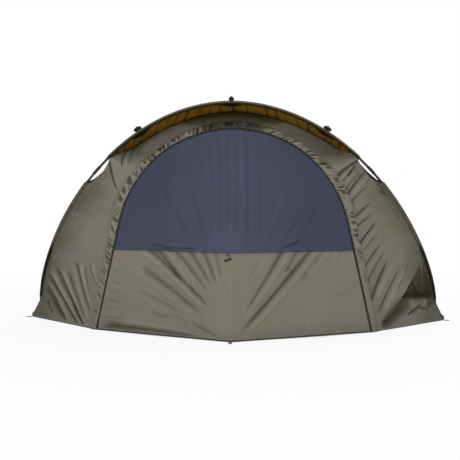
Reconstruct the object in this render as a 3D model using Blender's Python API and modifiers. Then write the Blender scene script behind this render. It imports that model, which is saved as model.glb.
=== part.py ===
"""A fishing bivvy: a pram-hood shelter whose ribs turn on two ground hubs.

The origin is on the ground, midway between the hubs. The front faces -Y, +X is to the right when seen from
the front, and +Z is up. Left and right are as seen from the front.
"""

import math

import bmesh
import bpy
from mathutils import Matrix, Vector

MM = 0.001

# Fits
TOUCH_GAP = 0.3 * MM
CLOTH_GAP = 0.6 * MM
SHELL_STANDOFF = 1.2 * MM
OVERRUN = 10 * MM

# Rib tubes and the ferrules over their joints
TUBE_RADIUS = 8 * MM
FERRULE_WALL = 1.3 * MM
FERRULE_LENGTH = 64 * MM
TUBE_END_GAP = 1 * MM
RIB_SEGMENTS = 40
JOINT_SEGMENT = 11
BARE_SEGMENTS = 1
TUBE_ROUNDNESS = 2

# Hubs: the ribs' eyes sit side by side on one pin
PIVOT_HEIGHT = 50 * MM
FRONT_EYE_X = 1386 * MM
EYE_PITCH = 40 * MM
EYE_WIDTH = 30 * MM
EYE_RADIUS = 15 * MM
EYE_SLOT_CLEARANCE = 2 * MM
PIN_RADIUS = 5 * MM
PIN_CLEARANCE = 0.3 * MM
PIN_HEAD_RADIUS = 9 * MM
PIN_HEAD_THICKNESS = 4 * MM
HUB_BASE_HALF_DEPTH = 45 * MM
HUB_TOP_RADIUS = 22 * MM
HUB_SHOULDER = 16 * MM
HUB_FLOOR = 12 * MM
SOCKET_SETBACK = 5 * MM
SOCKET_LIFT = 1.5 * MM
SOCKET_WALL = 4 * MM
SOCKET_CLEARANCE = 0.5 * MM
TUBE_START_IN_EYE = 9 * MM

# Reach of each rib from the pivot axis to its crown: the second and third ribs' are given by how much shorter
# than the front rib's they are
FRONT_REACH = 1547 * MM
SECOND_SHORTER = 142 * MM
THIRD_SHORTER = 167 * MM
GROUND_REACH = 1600 * MM
GROUND_RIB_HEIGHT = 12.5 * MM

# Rise of each rib's plane about the pivot axis, from the rear horizontal, in degrees
FRONT_RISE_DEGREES = 116.7
SECOND_RISE_DEGREES = 107.0
THIRD_RISE_DEGREES = 58.0

# How full each arch is: 2 is an ellipse, and less is flatter in the leg or more pointed at the crown
FRONT_LEG_FULLNESS = 1.96
FRONT_CROWN_FULLNESS = 1.465
SECOND_FULLNESS = 1.76
THIRD_FULLNESS = 1.95
GROUND_FULLNESS = 2.1

# How far the front panel and the hood are drawn back from the front rib's bare lengths
BARE_DEPTH = 22 * MM
HOOD_NOTCH_DEPTH = 130 * MM

# Cloth
CLOTH = 2.5 * MM
LINING = 2 * MM
SLEEVE_WALL = 2 * MM
HEM_HEIGHT = 2.2 * MM
RIB_SEAM = 1.2 * MM
PEAK_SAG = 6 * MM
ROOF_SAG = 26 * MM
REAR_SAG = 22 * MM
REAR_STANDOFF = 2.5 * MM
LINING_TRIM = 9 * MM

# Front: the door's zip is two straight jambs and a round top, in one upright plane
DOOR_FORWARD = 500 * MM
DOOR_FOOT_X = 879 * MM
DOOR_HEIGHT = 1287 * MM
DOOR_ROUND = 740 * MM
DOOR_BULGE = 330 * MM
MESH_SILL = 520 * MM
ZIP_RADIUS = 2.5 * MM
ZIP_SIDES = 6
CORNER_X = 1418 * MM
CORNER_FORWARD = 66 * MM
HOOD_CLEARANCE = 9 * MM
FULL_HOOD_X = 665 * MM
NO_HOOD_X = 790 * MM
HOOD_DEPTH_SHARE = 0.93
WING_COLUMNS = 10
DOOR_ROWS = 13
DOOR_COLUMNS = 24

# Storm gutter over the zip
GUTTER_START = 10 * MM
GUTTER_WIDTH = 46 * MM
GUTTER_CROWN = 7 * MM
GUTTER_STANDOFF = 2.2 * MM
GUTTER_COLUMNS = 4

# Zip sliders
SLIDER_WIDTH = 9 * MM
SLIDER_LENGTH = 24 * MM
SLIDER_THICKNESS = 4 * MM
SLIDER_STANDOFF = 6 * MM
SLIDER_KEEL = 2.4 * MM
SLIDER_UP_JAMB = 120 * MM
PULL_WIDTH = 8 * MM
PULL_LENGTH = 42 * MM
PULL_THICKNESS = 2.5 * MM

# Tension bars over the hood, from the front rib to the second
BAR_RADIUS = 6 * MM
BAR_LIFT = 32 * MM
BAR_CAP_LENGTH = 21 * MM
BAR_CAP_WIDTH = 17 * MM
BAR_CAP_HEIGHT = 14 * MM
BAR_TAIL_RADIUS = 9 * MM
BAR_SIDE_X = 572 * MM
STUD_RADIUS = 4 * MM
STUD_FLANGE_RADIUS = 12 * MM
STUD_HEAD_RADIUS = 7 * MM
STUD_HEAD_THICKNESS = 3 * MM
REST_WIDTH = 30 * MM
REST_LENGTH = 26 * MM
REST_LIP = 5 * MM
REST_LIP_HEIGHT = 14 * MM
REST_STANDOFF = 2 * MM

# Groundsheet
SHEET_THICKNESS = 3 * MM
SHEET_INSET = 26 * MM
SHEET_STATIONS = 28

# Door toggle and its tab
TOGGLE_X = -22 * MM
TOGGLE_DROP = 34 * MM
TOGGLE_LENGTH = 44 * MM
TOGGLE_RADIUS = 5.5 * MM
TOGGLE_WAIST = 3.5 * MM
TOGGLE_TILT_DEGREES = -16
TAB_WIDTH = 12 * MM
TAB_LENGTH = 34 * MM
TAB_THICKNESS = 2 * MM

# Pegging loops
LOOP_WIDTH = 22 * MM
LOOP_LENGTH = 34 * MM
LOOP_THICKNESS = 3 * MM
LOOP_EYE_RADIUS = 6 * MM

# Rear vent
VENT_HALF_WIDTH = 300 * MM
VENT_CROWN = 34 * MM
VENT_STANDOFF = 1.5 * MM
VENT_DOWN_SHARE = 0.16
VENT_DEPTH_SHARE = 0.13
VENT_TAPER_SHARE = 0.86

# Creases as shares: start x and z, end x and z, depth, breadth. x is a share of the front corner's x and z of the
# door's height; depth and breadth are shares of the greatest crease, below
CREASE_DEPTH = 17 * MM
CREASE_BREADTH = 62 * MM
LEFT_WING_CREASE_SHARES = (
    (-0.845, 0.30, -0.675, 0.02, 0.9, 0.8),
    (-0.790, 0.36, -0.655, 0.02, -0.7, 0.8),
    (-0.735, 0.38, -0.650, 0.05, 1.0, 0.8),
    (-0.680, 0.38, -0.640, 0.12, -0.6, 0.7),
    (-0.880, 0.19, -0.750, 0.00, -0.8, 0.8),
)
RIGHT_WING_CREASE_SHARES = (
    (0.600, 0.80, 0.500, 0.70, 0.7, 0.7),
    (0.640, 0.74, 0.520, 0.58, -0.7, 0.8),
    (0.690, 0.65, 0.535, 0.42, 0.8, 0.8),
    (0.720, 0.50, 0.560, 0.27, -0.8, 0.9),
    (0.790, 0.34, 0.640, 0.07, 0.9, 0.9),
    (0.860, 0.30, 0.760, 0.04, -1.0, 1.1),
)
DOOR_CREASE_SHARES = (
    (-0.360, 0.38, -0.050, 0.02, -1.0, 1.1),
    (-0.270, 0.38, -0.080, 0.12, 0.9, 0.9),
    (-0.160, 0.38, -0.035, 0.11, -0.8, 0.9),
    (0.270, 0.38, 0.045, 0.03, -1.0, 1.0),
    (0.190, 0.38, 0.055, 0.12, 0.9, 0.9),
    (-0.560, 0.20, -0.360, 0.13, 0.6, 0.8),
    (-0.570, 0.11, -0.300, 0.05, 0.6, 0.8),
)

RIB_SAMPLES = 600
NUDGE = 0.0001
SIDES = {"left": -1, "right": 1}


class Arch:
    """A rib's centre line. It is read by the share of its length, from the left foot (0) to the right foot (1)."""

    def __init__(self, half_width, reach, rise_degrees, leg_fullness, crown_fullness, foot_height):
        self.half_width = half_width
        self.reach = reach
        self.rise = math.radians(rise_degrees)
        self.foot_height = foot_height
        self.outline = []
        for step in range(RIB_SAMPLES + 1):
            turn = math.pi * step / RIB_SAMPLES
            across = math.copysign(abs(math.cos(turn)) ** (2 / leg_fullness), -math.cos(turn)) * half_width
            self.outline.append((across, max(0.0, math.sin(turn)) ** (2 / crown_fullness) * reach))
        self.lengths = [0.0]
        for (x0, h0), (x1, h1) in zip(self.outline, self.outline[1:]):
            self.lengths.append(self.lengths[-1] + math.hypot(x1 - x0, h1 - h0))
        self.knots = [self.curve_point(step / RIB_SEGMENTS) for step in range(RIB_SEGMENTS + 1)]

    def point(self, share):
        """A point of the tube's centre line, which is straight between its knots."""
        low = min(RIB_SEGMENTS - 1, int(share * RIB_SEGMENTS))
        return self.knots[low].lerp(self.knots[low + 1], share * RIB_SEGMENTS - low)

    def path(self, first, last):
        """The tube's centre line from one share to another."""
        within = [k for k in range(RIB_SEGMENTS + 1) if first + NUDGE < k / RIB_SEGMENTS < last - NUDGE]
        return [self.point(first)] + [self.knots[k] for k in within] + [self.point(last)]

    def curve_point(self, share):
        target = share * self.lengths[-1]
        low, high = 0, RIB_SAMPLES
        while high - low > 1:
            middle = (low + high) // 2
            if self.lengths[middle] <= target:
                low = middle
            else:
                high = middle
        part = (target - self.lengths[low]) / (self.lengths[high] - self.lengths[low])
        x = self.outline[low][0] + (self.outline[high][0] - self.outline[low][0]) * part
        height = self.outline[low][1] + (self.outline[high][1] - self.outline[low][1]) * part
        return Vector((x, height * math.cos(self.rise), self.foot_height + height * math.sin(self.rise)))

    def along(self, share):
        step = 1 / RIB_SAMPLES
        return (self.curve_point(min(1.0, share + step)) - self.curve_point(max(0.0, share - step))).normalized()

    def share_at_height(self, height):
        """The share of the length at which the left leg is this far up the rib's plane."""
        index = next(i for i, (x, h) in enumerate(self.outline) if h >= height)
        (x0, h0), (x1, h1) = self.outline[index - 1], self.outline[index]
        part = (height - h0) / (h1 - h0)
        return (self.lengths[index - 1] + (self.lengths[index] - self.lengths[index - 1]) * part) / self.lengths[-1]

    def share_at_x(self, x):
        """The share of the length at which the arch is at this x."""
        index = next(i for i, (across, h) in enumerate(self.outline) if across >= x)
        (x0, h0), (x1, h1) = self.outline[index - 1], self.outline[index]
        part = (x - x0) / (x1 - x0)
        return (self.lengths[index - 1] + (self.lengths[index] - self.lengths[index - 1]) * part) / self.lengths[-1]


CHEEK = EYE_PITCH - EYE_WIDTH - 2 * EYE_SLOT_CLEARANCE
SECOND_EYE_X = FRONT_EYE_X - EYE_PITCH
THIRD_EYE_X = SECOND_EYE_X - EYE_PITCH
GROUND_RIB_X = FRONT_EYE_X + EYE_PITCH
HUB_INNER_X = THIRD_EYE_X - EYE_PITCH / 2 - CHEEK / 2
HUB_OUTER_X = FRONT_EYE_X + EYE_PITCH / 2 + CHEEK / 2
SHEET_HALF_WIDTH = HUB_INNER_X - SHEET_INSET
SECOND_REACH = FRONT_REACH - SECOND_SHORTER
THIRD_REACH = FRONT_REACH - THIRD_SHORTER

FRONT = Arch(
    FRONT_EYE_X, FRONT_REACH, FRONT_RISE_DEGREES, FRONT_LEG_FULLNESS, FRONT_CROWN_FULLNESS, PIVOT_HEIGHT
)
SECOND = Arch(SECOND_EYE_X, SECOND_REACH, SECOND_RISE_DEGREES, SECOND_FULLNESS, SECOND_FULLNESS, PIVOT_HEIGHT)
THIRD = Arch(THIRD_EYE_X, THIRD_REACH, THIRD_RISE_DEGREES, THIRD_FULLNESS, THIRD_FULLNESS, PIVOT_HEIGHT)
GROUND = Arch(GROUND_RIB_X, GROUND_REACH, 0, GROUND_FULLNESS, GROUND_FULLNESS, GROUND_RIB_HEIGHT)
ROOM_CENTRE = Vector((0, 0, PIVOT_HEIGHT))

TUBE_SIDES = 4 + 2 * TUBE_ROUNDNESS
BORE = (TUBE_RADIUS + TOUCH_GAP) / math.cos(math.pi / TUBE_SIDES)
FERRULE_RADIUS = BORE + FERRULE_WALL
SLEEVE_RADIUS = BORE + SLEEVE_WALL / math.cos(math.pi / TUBE_SIDES)
ZIP_EDGE = ZIP_RADIUS / math.cos(math.pi / ZIP_SIDES) + CLOTH_GAP
DOOR_EDGE = ZIP_RADIUS + TOUCH_GAP
JOINT_SHARE = JOINT_SEGMENT / RIB_SEGMENTS
BARE_LOW_SHARE = (JOINT_SEGMENT - BARE_SEGMENTS) / RIB_SEGMENTS
BARE_HIGH_SHARE = (JOINT_SEGMENT + BARE_SEGMENTS) / RIB_SEGMENTS
OVER_RIB = FERRULE_RADIUS + SHELL_STANDOFF + CLOTH / 2
OVER_SLEEVE = SLEEVE_RADIUS + SHELL_STANDOFF + CLOTH / 2


# Scene and materials

def clear_scene():
    for obj in list(bpy.data.objects):
        bpy.data.objects.remove(obj)


def new_collection(name):
    made = bpy.data.collections.new(name)
    bpy.context.scene.collection.children.link(made)
    return made


def material(name, colour, roughness, metallic=0.0):
    made = bpy.data.materials.new(name)
    made.use_nodes = True
    shader = made.node_tree.nodes["Principled BSDF"]
    shader.inputs["Base Color"].default_value = (*colour, 1.0)
    shader.inputs["Roughness"].default_value = roughness
    shader.inputs["Metallic"].default_value = metallic
    return made


clear_scene()
PARTS = new_collection("bivvy_tent")
HELPERS = new_collection("helpers")
SHELL_CLOTH = material("shell_cloth", (0.17, 0.16, 0.125), 0.62)
LINING_CLOTH = material("lining_cloth", (0.17, 0.09, 0.012), 0.7)
MESH_CLOTH = material("mesh_cloth", (0.066, 0.070, 0.102), 0.85)
SHEET_CLOTH = material("sheet_cloth", (0.035, 0.037, 0.03), 0.5)
RIB_METAL = material("rib_metal", (0.022, 0.022, 0.025), 0.35, 0.9)
FERRULE_METAL = material("ferrule_metal", (0.05, 0.05, 0.055), 0.3, 1.0)
PIN_STEEL = material("pin_steel", (0.45, 0.45, 0.47), 0.3, 1.0)
BLACK_PLASTIC = material("black_plastic", (0.018, 0.02, 0.022), 0.5)
ZIP_NYLON = material("zip_nylon", (0.012, 0.012, 0.014), 0.55)
BLACK_WEBBING = material("black_webbing", (0.02, 0.02, 0.02), 0.9)


# Modelling helpers

def place(obj, finish, collection=None):
    (collection or PARTS).objects.link(obj)
    if finish:
        obj.data.materials.append(finish)
    return obj


def helper(obj):
    HELPERS.objects.link(obj)
    obj.hide_render = True
    obj.display_type = "WIRE"
    return obj


def mesh_object(name, verts, faces):
    mesh = bpy.data.meshes.new(name)
    mesh.from_pydata([tuple(v) for v in verts], [], faces)
    mesh.update()
    return bpy.data.objects.new(name, mesh)


def object_from_bmesh(name, shape):
    mesh = bpy.data.meshes.new(name)
    shape.to_mesh(mesh)
    shape.free()
    return bpy.data.objects.new(name, mesh)


def boolean(obj, other, operation):
    modifier = obj.modifiers.new(operation.lower(), "BOOLEAN")
    modifier.operation = operation
    modifier.object = other
    modifier.solver = "EXACT"


def box(name, size, centre):
    shape = bmesh.new()
    bmesh.ops.create_cube(shape, size=1)
    bmesh.ops.scale(shape, vec=Vector(size), verts=shape.verts)
    bmesh.ops.translate(shape, vec=Vector(centre), verts=shape.verts)
    return object_from_bmesh(name, shape)


def cylinder(name, radius, length, centre, axis, sides=24):
    shape = bmesh.new()
    bmesh.ops.create_cone(
        shape, cap_ends=True, segments=sides, radius1=radius, radius2=radius, depth=length
    )
    turn = Vector((0, 0, 1)).rotation_difference(Vector(axis)).to_matrix().to_4x4()
    bmesh.ops.transform(shape, matrix=Matrix.Translation(Vector(centre)) @ turn, verts=shape.verts)
    return object_from_bmesh(name, shape)


def smooth(obj, degrees=35):
    obj.data.shade_smooth()
    obj.data.set_sharp_from_angle(angle=math.radians(degrees))


def wire(name, points, radius, caps=True, roundness=TUBE_ROUNDNESS):
    """A round bar that follows a line of points."""
    curve = bpy.data.curves.new(name, "CURVE")
    curve.dimensions = "3D"
    spline = curve.splines.new("POLY")
    spline.points.add(len(points) - 1)
    for knot, point in zip(spline.points, points):
        knot.co = (*point, 1)
    curve.bevel_depth = radius
    curve.bevel_resolution = roundness
    curve.use_fill_caps = caps
    return bpy.data.objects.new(name, curve)


def solid_mesh(curve_object):
    """The curve's evaluated shape as a welded mesh object, which can take a Boolean or a Solidify."""
    scene_objects = bpy.context.scene.collection.objects
    scene_objects.link(curve_object)
    graph = bpy.context.evaluated_depsgraph_get()
    mesh = bpy.data.meshes.new_from_object(curve_object.evaluated_get(graph))
    shape = bmesh.new()
    shape.from_mesh(mesh)
    bmesh.ops.remove_doubles(shape, verts=shape.verts, dist=TOUCH_GAP / 3)
    bmesh.ops.recalc_face_normals(shape, faces=shape.faces)
    shape.to_mesh(mesh)
    shape.free()
    name = curve_object.name
    bpy.data.objects.remove(curve_object)
    return bpy.data.objects.new(name, mesh)


def hollow_tube(name, points, wall, finish):
    """A tube that fits round a rib, open at its ends and thickened outwards."""
    obj = solid_mesh(wire(name, points, BORE, caps=False))
    modifier = obj.modifiers.new("wall", "SOLIDIFY")
    modifier.thickness = wall
    modifier.offset = 1
    place(obj, finish)
    smooth(obj)
    return obj


def outline_plate(name, outline, thickness, finish, frame=None):
    """A flat plate from a closed outline, standing half its thickness on each side of its plane."""
    curve = bpy.data.curves.new(name, "CURVE")
    curve.dimensions = "2D"
    curve.fill_mode = "BOTH"
    curve.extrude = thickness / 2
    spline = curve.splines.new("POLY")
    spline.points.add(len(outline) - 1)
    for knot, (x, y) in zip(spline.points, outline):
        knot.co = (x, y, 0, 1)
    spline.use_cyclic_u = True
    obj = solid_mesh(bpy.data.objects.new(name, curve))
    if frame:
        obj.matrix_world = frame
    if finish:
        place(obj, finish)
    return obj


def grid_faces(rows, columns):
    return [
        (r * columns + c, r * columns + c + 1, (r + 1) * columns + c + 1, (r + 1) * columns + c)
        for r in range(rows - 1)
        for c in range(columns - 1)
    ]


def cloth(name, grid, thickness, finish):
    """A cloth panel: a lofted surface, given its thickness evenly about it."""
    verts = [point for row in grid for point in row]
    obj = mesh_object(name, verts, grid_faces(len(grid), len(grid[0])))
    modifier = obj.modifiers.new("thickness", "SOLIDIFY")
    modifier.thickness = thickness
    modifier.offset = 0
    place(obj, finish)
    obj.data.shade_smooth()
    return obj


def shares(first, last, count):
    return [first + (last - first) * step / (count - 1) for step in range(count)]


def smoothstep(value):
    value = min(1.0, max(0.0, value))
    return value * value * (3 - 2 * value)


def mirrored(points, sign):
    """A left-hand line of points, or its mirror image."""
    return [Vector((-sign * p.x, p.y, p.z)) for p in points]


# Frame

def rib_tubes(prefix, arch, foot_share, with_eyes):
    """A rib's left leg, crown and right leg, with a ferrule over each of its two joints."""
    half_gap = TUBE_END_GAP / arch.lengths[-1] / 2
    crown = arch.path(JOINT_SHARE + half_gap, 1 - JOINT_SHARE - half_gap)
    place(wire(prefix + "_crown", crown, TUBE_RADIUS), RIB_METAL)
    half_ferrule = FERRULE_LENGTH / arch.lengths[-1] / 2
    for side, sign in SIDES.items():
        leg = mirrored(arch.path(foot_share, JOINT_SHARE - half_gap), sign)
        joint = mirrored(arch.path(JOINT_SHARE - half_ferrule, JOINT_SHARE + half_ferrule), sign)
        tube = wire(f"{prefix}_{side}_leg", leg, TUBE_RADIUS)
        if with_eyes:
            tube = solid_mesh(tube)
            centre = (sign * arch.half_width, 0, arch.foot_height)
            eye = cylinder(f"{prefix}_{side}_eye", EYE_RADIUS, EYE_WIDTH, centre, (1, 0, 0))
            boolean(tube, helper(eye), "UNION")
            bore_length = EYE_WIDTH + 2 * OVERRUN
            bore = cylinder(
                f"{prefix}_{side}_bore", PIN_RADIUS + PIN_CLEARANCE, bore_length, centre, (1, 0, 0)
            )
            boolean(tube, helper(bore), "DIFFERENCE")
        place(tube, RIB_METAL)
        hollow_tube(f"{prefix}_{side}_ferrule", joint, FERRULE_WALL, FERRULE_METAL)


def hub_profile():
    """Depth and height of a hub's side: a wide foot that tapers to a round top about the pin."""
    points = [(-HUB_BASE_HALF_DEPTH, 0), (HUB_BASE_HALF_DEPTH, 0), (HUB_BASE_HALF_DEPTH, HUB_SHOULDER)]
    steps = 10
    for step in range(steps + 1):
        turn = math.pi * step / steps
        points.append((HUB_TOP_RADIUS * math.cos(turn), PIVOT_HEIGHT + HUB_TOP_RADIUS * math.sin(turn)))
    points.append((-HUB_BASE_HALF_DEPTH, HUB_SHOULDER))
    return points


def hub(side, sign):
    """A comb of cheeks that the rib eyes turn between, with a socket for the ground rib on its outer side."""
    length = HUB_OUTER_X - HUB_INNER_X
    middle = (HUB_INNER_X + HUB_OUTER_X) / 2
    upright = Matrix(((0, 0, 1), (1, 0, 0), (0, 1, 0))).to_4x4()
    upright.translation = Vector((sign * middle, 0, 0))
    body = outline_plate(f"{side}_hub", hub_profile(), length, BLACK_PLASTIC, upright)
    body.data.transform(upright)
    body.matrix_world = Matrix.Identity(4)
    slot_width = EYE_WIDTH + 2 * EYE_SLOT_CLEARANCE
    slot_height = PIVOT_HEIGHT + HUB_TOP_RADIUS + OVERRUN
    for count in range(3):
        x = sign * (FRONT_EYE_X - count * EYE_PITCH)
        size = (slot_width, 2 * HUB_BASE_HALF_DEPTH + 2 * OVERRUN, slot_height)
        slot = box(f"{side}_hub_slot_{count}", size, (x, 0, HUB_FLOOR + slot_height / 2))
        boolean(body, helper(slot), "DIFFERENCE")
    hole = cylinder(
        f"{side}_hub_pin_hole",
        PIN_RADIUS + PIN_CLEARANCE,
        length + 2 * OVERRUN,
        (sign * middle, 0, PIVOT_HEIGHT),
        (1, 0, 0),
    )
    boolean(body, helper(hole), "DIFFERENCE")
    bore = TUBE_RADIUS + SOCKET_CLEARANCE
    socket_inner = HUB_OUTER_X - CHEEK / 2
    socket_outer = GROUND_RIB_X + bore + SOCKET_WALL
    socket_top = GROUND_RIB_HEIGHT + bore + SOCKET_WALL
    socket = box(
        f"{side}_hub_socket",
        (socket_outer - socket_inner, 2 * (HUB_BASE_HALF_DEPTH - SOCKET_SETBACK), socket_top - SOCKET_LIFT),
        (sign * (socket_inner + socket_outer) / 2, 0, (socket_top + SOCKET_LIFT) / 2),
    )
    boolean(body, helper(socket), "UNION")
    depth = HUB_BASE_HALF_DEPTH + OVERRUN
    start = GROUND.point(GROUND.share_at_height(TUBE_START_IN_EYE))
    way = (GROUND.knots[1] - start).normalized()
    start, way_end = mirrored([start - way * TOUCH_GAP, start + way * depth], sign)
    well = cylinder(f"{side}_hub_well", bore, depth, (start + way_end) / 2, way_end - start)
    boolean(body, helper(well), "DIFFERENCE")
    pin(side, sign)


def pin(side, sign):
    """A turned pivot pin: a domed head on the inner side and a plain shank through every cheek and eye."""
    reach = TOUCH_GAP + PIN_HEAD_THICKNESS
    profile = [
        (0, HUB_OUTER_X + reach),
        (PIN_RADIUS, HUB_OUTER_X + reach),
        (PIN_RADIUS, HUB_INNER_X - TOUCH_GAP),
        (PIN_HEAD_RADIUS, HUB_INNER_X - TOUCH_GAP),
        (PIN_HEAD_RADIUS * 0.8, HUB_INNER_X - reach),
        (0, HUB_INNER_X - reach),
    ]
    obj = turned(f"{side}_pivot_pin", profile, PIN_STEEL, steps=20)
    turn = Matrix.Rotation(math.radians(90 * sign), 4, "Y")
    obj.matrix_world = Matrix.Translation((0, 0, PIVOT_HEIGHT)) @ turn


def turned(name, profile, finish, steps=20, collection=None):
    """A turned piece about its own Z: the profile is (radius, height) from the top down its outer side."""
    verts = [(radius, 0, height) for radius, height in profile]
    mesh = bpy.data.meshes.new(name)
    mesh.from_pydata(verts, [(i, i + 1) for i in range(len(verts) - 1)], [])
    obj = bpy.data.objects.new(name, mesh)
    screw = obj.modifiers.new("turn", "SCREW")
    screw.steps = steps
    screw.render_steps = steps
    screw.use_merge_vertices = True
    screw.merge_threshold = TOUCH_GAP / 10
    place(obj, finish, collection)
    return obj


# Shell

def panel_out(front, back, share):
    """The way out of the tent, square to the cloth between two ribs."""
    a, b = front.point(share), back.point(share)
    out = (front.along(share) + back.along(share)).cross(b - a).normalized()
    if out.dot(a + b - 2 * ROOM_CENTRE) < 0:
        out.negate()
    return out


def rib_out(arch, share):
    """The way out at a rib: midway between the ways out of the panels that meet there."""
    panels = [pair for pair in ((FRONT, SECOND), (SECOND, THIRD), (THIRD, GROUND)) if arch in pair]
    return sum((panel_out(*pair, share) for pair in panels), Vector()).normalized()


def ruling(front, back, front_offset, back_offset, share):
    """The straight line that taut cloth takes from one rib to the next, and the way out of the tent there."""
    a = front.point(share) + rib_out(front, share) * front_offset
    b = back.point(share) + rib_out(back, share) * back_offset
    return a, b, panel_out(front, back, share)


def bare_way(share):
    """From 0 to 1 and back along each stretch of the front rib where its tube shows between the cloth's edges."""
    share = min(share, 1 - share)
    if not BARE_LOW_SHARE < share < BARE_HIGH_SHARE:
        return 0.0
    way = (share - BARE_LOW_SHARE) / (BARE_HIGH_SHARE - BARE_LOW_SHARE)
    return math.sin(math.pi * way) ** 0.7


def knots_between(first, last):
    """Stations at the ribs' knots, so that the cloth's facets follow the tubes' facets."""
    return [knot / RIB_SEGMENTS for knot in range(first, last + 1)]


def roof_panel(name, front, back, offsets, sag, trims, stations, rows, thickness, finish, drop=0.0):
    """Cloth ruled between two ribs, drawn in between them by its own tension."""
    grid = []
    for share in stations:
        a, b, out = ruling(front, back, *offsets, share)
        length = (b - a).length
        start = trims[0] + (HOOD_NOTCH_DEPTH * bare_way(share) if front is FRONT else 0.0)
        row = []
        for along in shares(start / length, 1 - trims[1] / length, rows):
            dip = sag * math.sin(math.pi * along) * math.sin(math.pi * share)
            row.append(a.lerp(b, along) - out * (dip + drop))
        grid.append(row)
    return cloth(name, grid, thickness, finish)


def rear_wall(share, down):
    """A point of the back wall, by the shares along the ribs and down from the third rib, and the way out there."""
    a, b, out = ruling(THIRD, GROUND, OVER_RIB, OVER_RIB + REAR_STANDOFF, share)
    dip = REAR_SAG * math.sin(math.pi * min(1.0, down)) * math.sin(math.pi * share)
    return a.lerp(b, down) - out * dip, out


def rear_hem(share):
    """The share down the back wall, just past the ground rib, at which it meets the ground."""
    a, b, out = ruling(THIRD, GROUND, OVER_RIB, OVER_RIB + REAR_STANDOFF, share)
    return (a.z - HEM_HEIGHT) / (a.z - b.z)


def rear_panel(stations, rows):
    """The back wall: from the third rib down over the ground rib to the hem."""
    grid = []
    for share in stations:
        start = RIB_SEAM / (GROUND.point(share) - THIRD.point(share)).length
        last = rear_hem(share)
        downs = shares(start, 1, rows) + ([last] if last > 1 + NUDGE else [])
        grid.append([rear_wall(share, down)[0] for down in downs])
    cloth("rear_shell", grid, CLOTH, SHELL_CLOTH)


def rear_vent():
    """A mesh vent strip on the back wall under a domed storm hood, which is open below."""
    lift = CLOTH + CLOTH_GAP
    columns, rows = 15, 5
    hood, strip = [], []
    for down in shares(0, 1, rows):
        hood_row, strip_row = [], []
        for across in shares(-1, 1, columns):
            share = THIRD.share_at_x(across * VENT_HALF_WIDTH * (VENT_TAPER_SHARE + (1 - VENT_TAPER_SHARE) * down))
            point, out = rear_wall(share, VENT_DOWN_SHARE + down * VENT_DEPTH_SHARE)
            rise = VENT_CROWN * down**0.8 * max(0.0, 1 - across * across) ** 0.6
            hood_row.append(point + out * (2 * lift + VENT_STANDOFF + rise))
            share = THIRD.share_at_x(across * VENT_HALF_WIDTH * VENT_TAPER_SHARE)
            point, out = rear_wall(share, VENT_DOWN_SHARE + down * VENT_DEPTH_SHARE * VENT_TAPER_SHARE)
            strip_row.append(point + out * (lift + VENT_STANDOFF))
        hood.append(hood_row)
        strip.append(strip_row)
    cloth("rear_vent_hood", hood, CLOTH, SHELL_CLOTH)
    cloth("rear_vent_mesh", strip, CLOTH, MESH_CLOTH)


# Front

class Doorway:
    """The zip line: straight jambs that meet a round top at a tangent, and lines parallel to it."""

    def __init__(self):
        self.centre_z = DOOR_HEIGHT - DOOR_ROUND
        to_foot = math.hypot(DOOR_FOOT_X, self.centre_z)
        self.turn = math.acos(DOOR_ROUND / to_foot) - math.atan2(self.centre_z, DOOR_FOOT_X)

    def jamb_length(self, offset):
        return (self.centre_z + (DOOR_ROUND + offset) * math.sin(self.turn) - HEM_HEIGHT) / math.cos(self.turn)

    def point(self, share, offset, sign):
        """A point on the line at this offset outside the zip, from its foot (0) to its top (1)."""
        radius = DOOR_ROUND + offset
        jamb = self.jamb_length(offset)
        arc = radius * (math.pi / 2 - self.turn)
        run = share * (jamb + arc)
        if run < jamb:
            up = run - jamb
            x = radius * math.cos(self.turn) - up * math.sin(self.turn)
            z = self.centre_z + radius * math.sin(self.turn) + up * math.cos(self.turn)
        else:
            angle = self.turn + (run - jamb) / radius
            x = radius * math.cos(angle)
            z = self.centre_z + radius * math.sin(angle)
        return Vector((sign * x, -DOOR_FORWARD, z))

    def half_width(self, height, offset):
        """Half the width between the two sides of that line at this height."""
        radius = DOOR_ROUND + offset
        tangent_z = self.centre_z + radius * math.sin(self.turn)
        if height < tangent_z:
            return radius * math.cos(self.turn) + (tangent_z - height) * math.tan(self.turn)
        return math.sqrt(max(0.0, radius**2 - (height - self.centre_z) ** 2))

    def up_jamb(self, sign):
        """The way up the straight part of the zip."""
        return Vector((-sign * math.sin(self.turn), 0, math.cos(self.turn)))


DOORWAY = Doorway()


def crease(x, z, table):
    """How far forward the cloth stands at (x, z) by the creases in the table."""
    total = 0.0
    for x0, z0, x1, z1, depth, breadth in table:
        start = Vector((x0 * CORNER_X, z0 * DOOR_HEIGHT))
        line = Vector((x1 * CORNER_X, z1 * DOOR_HEIGHT)) - start
        at = Vector((x, z)) - start
        along = at.dot(line) / line.length_squared
        aside = abs(at.x * line.y - at.y * line.x) / line.length
        ends = smoothstep(min(along, 1 - along) * 4 + 0.5)
        total += depth * CREASE_DEPTH * ends * math.exp(-((aside / (breadth * CREASE_BREADTH / 2)) ** 2))
    return total


def hood_share(x):
    """How far back under the hood the front panel's top edge is, as a share of the hood's depth."""
    return HOOD_DEPTH_SHARE * smoothstep((NO_HOOD_X - abs(x)) / (NO_HOOD_X - FULL_HOOD_X))


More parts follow.
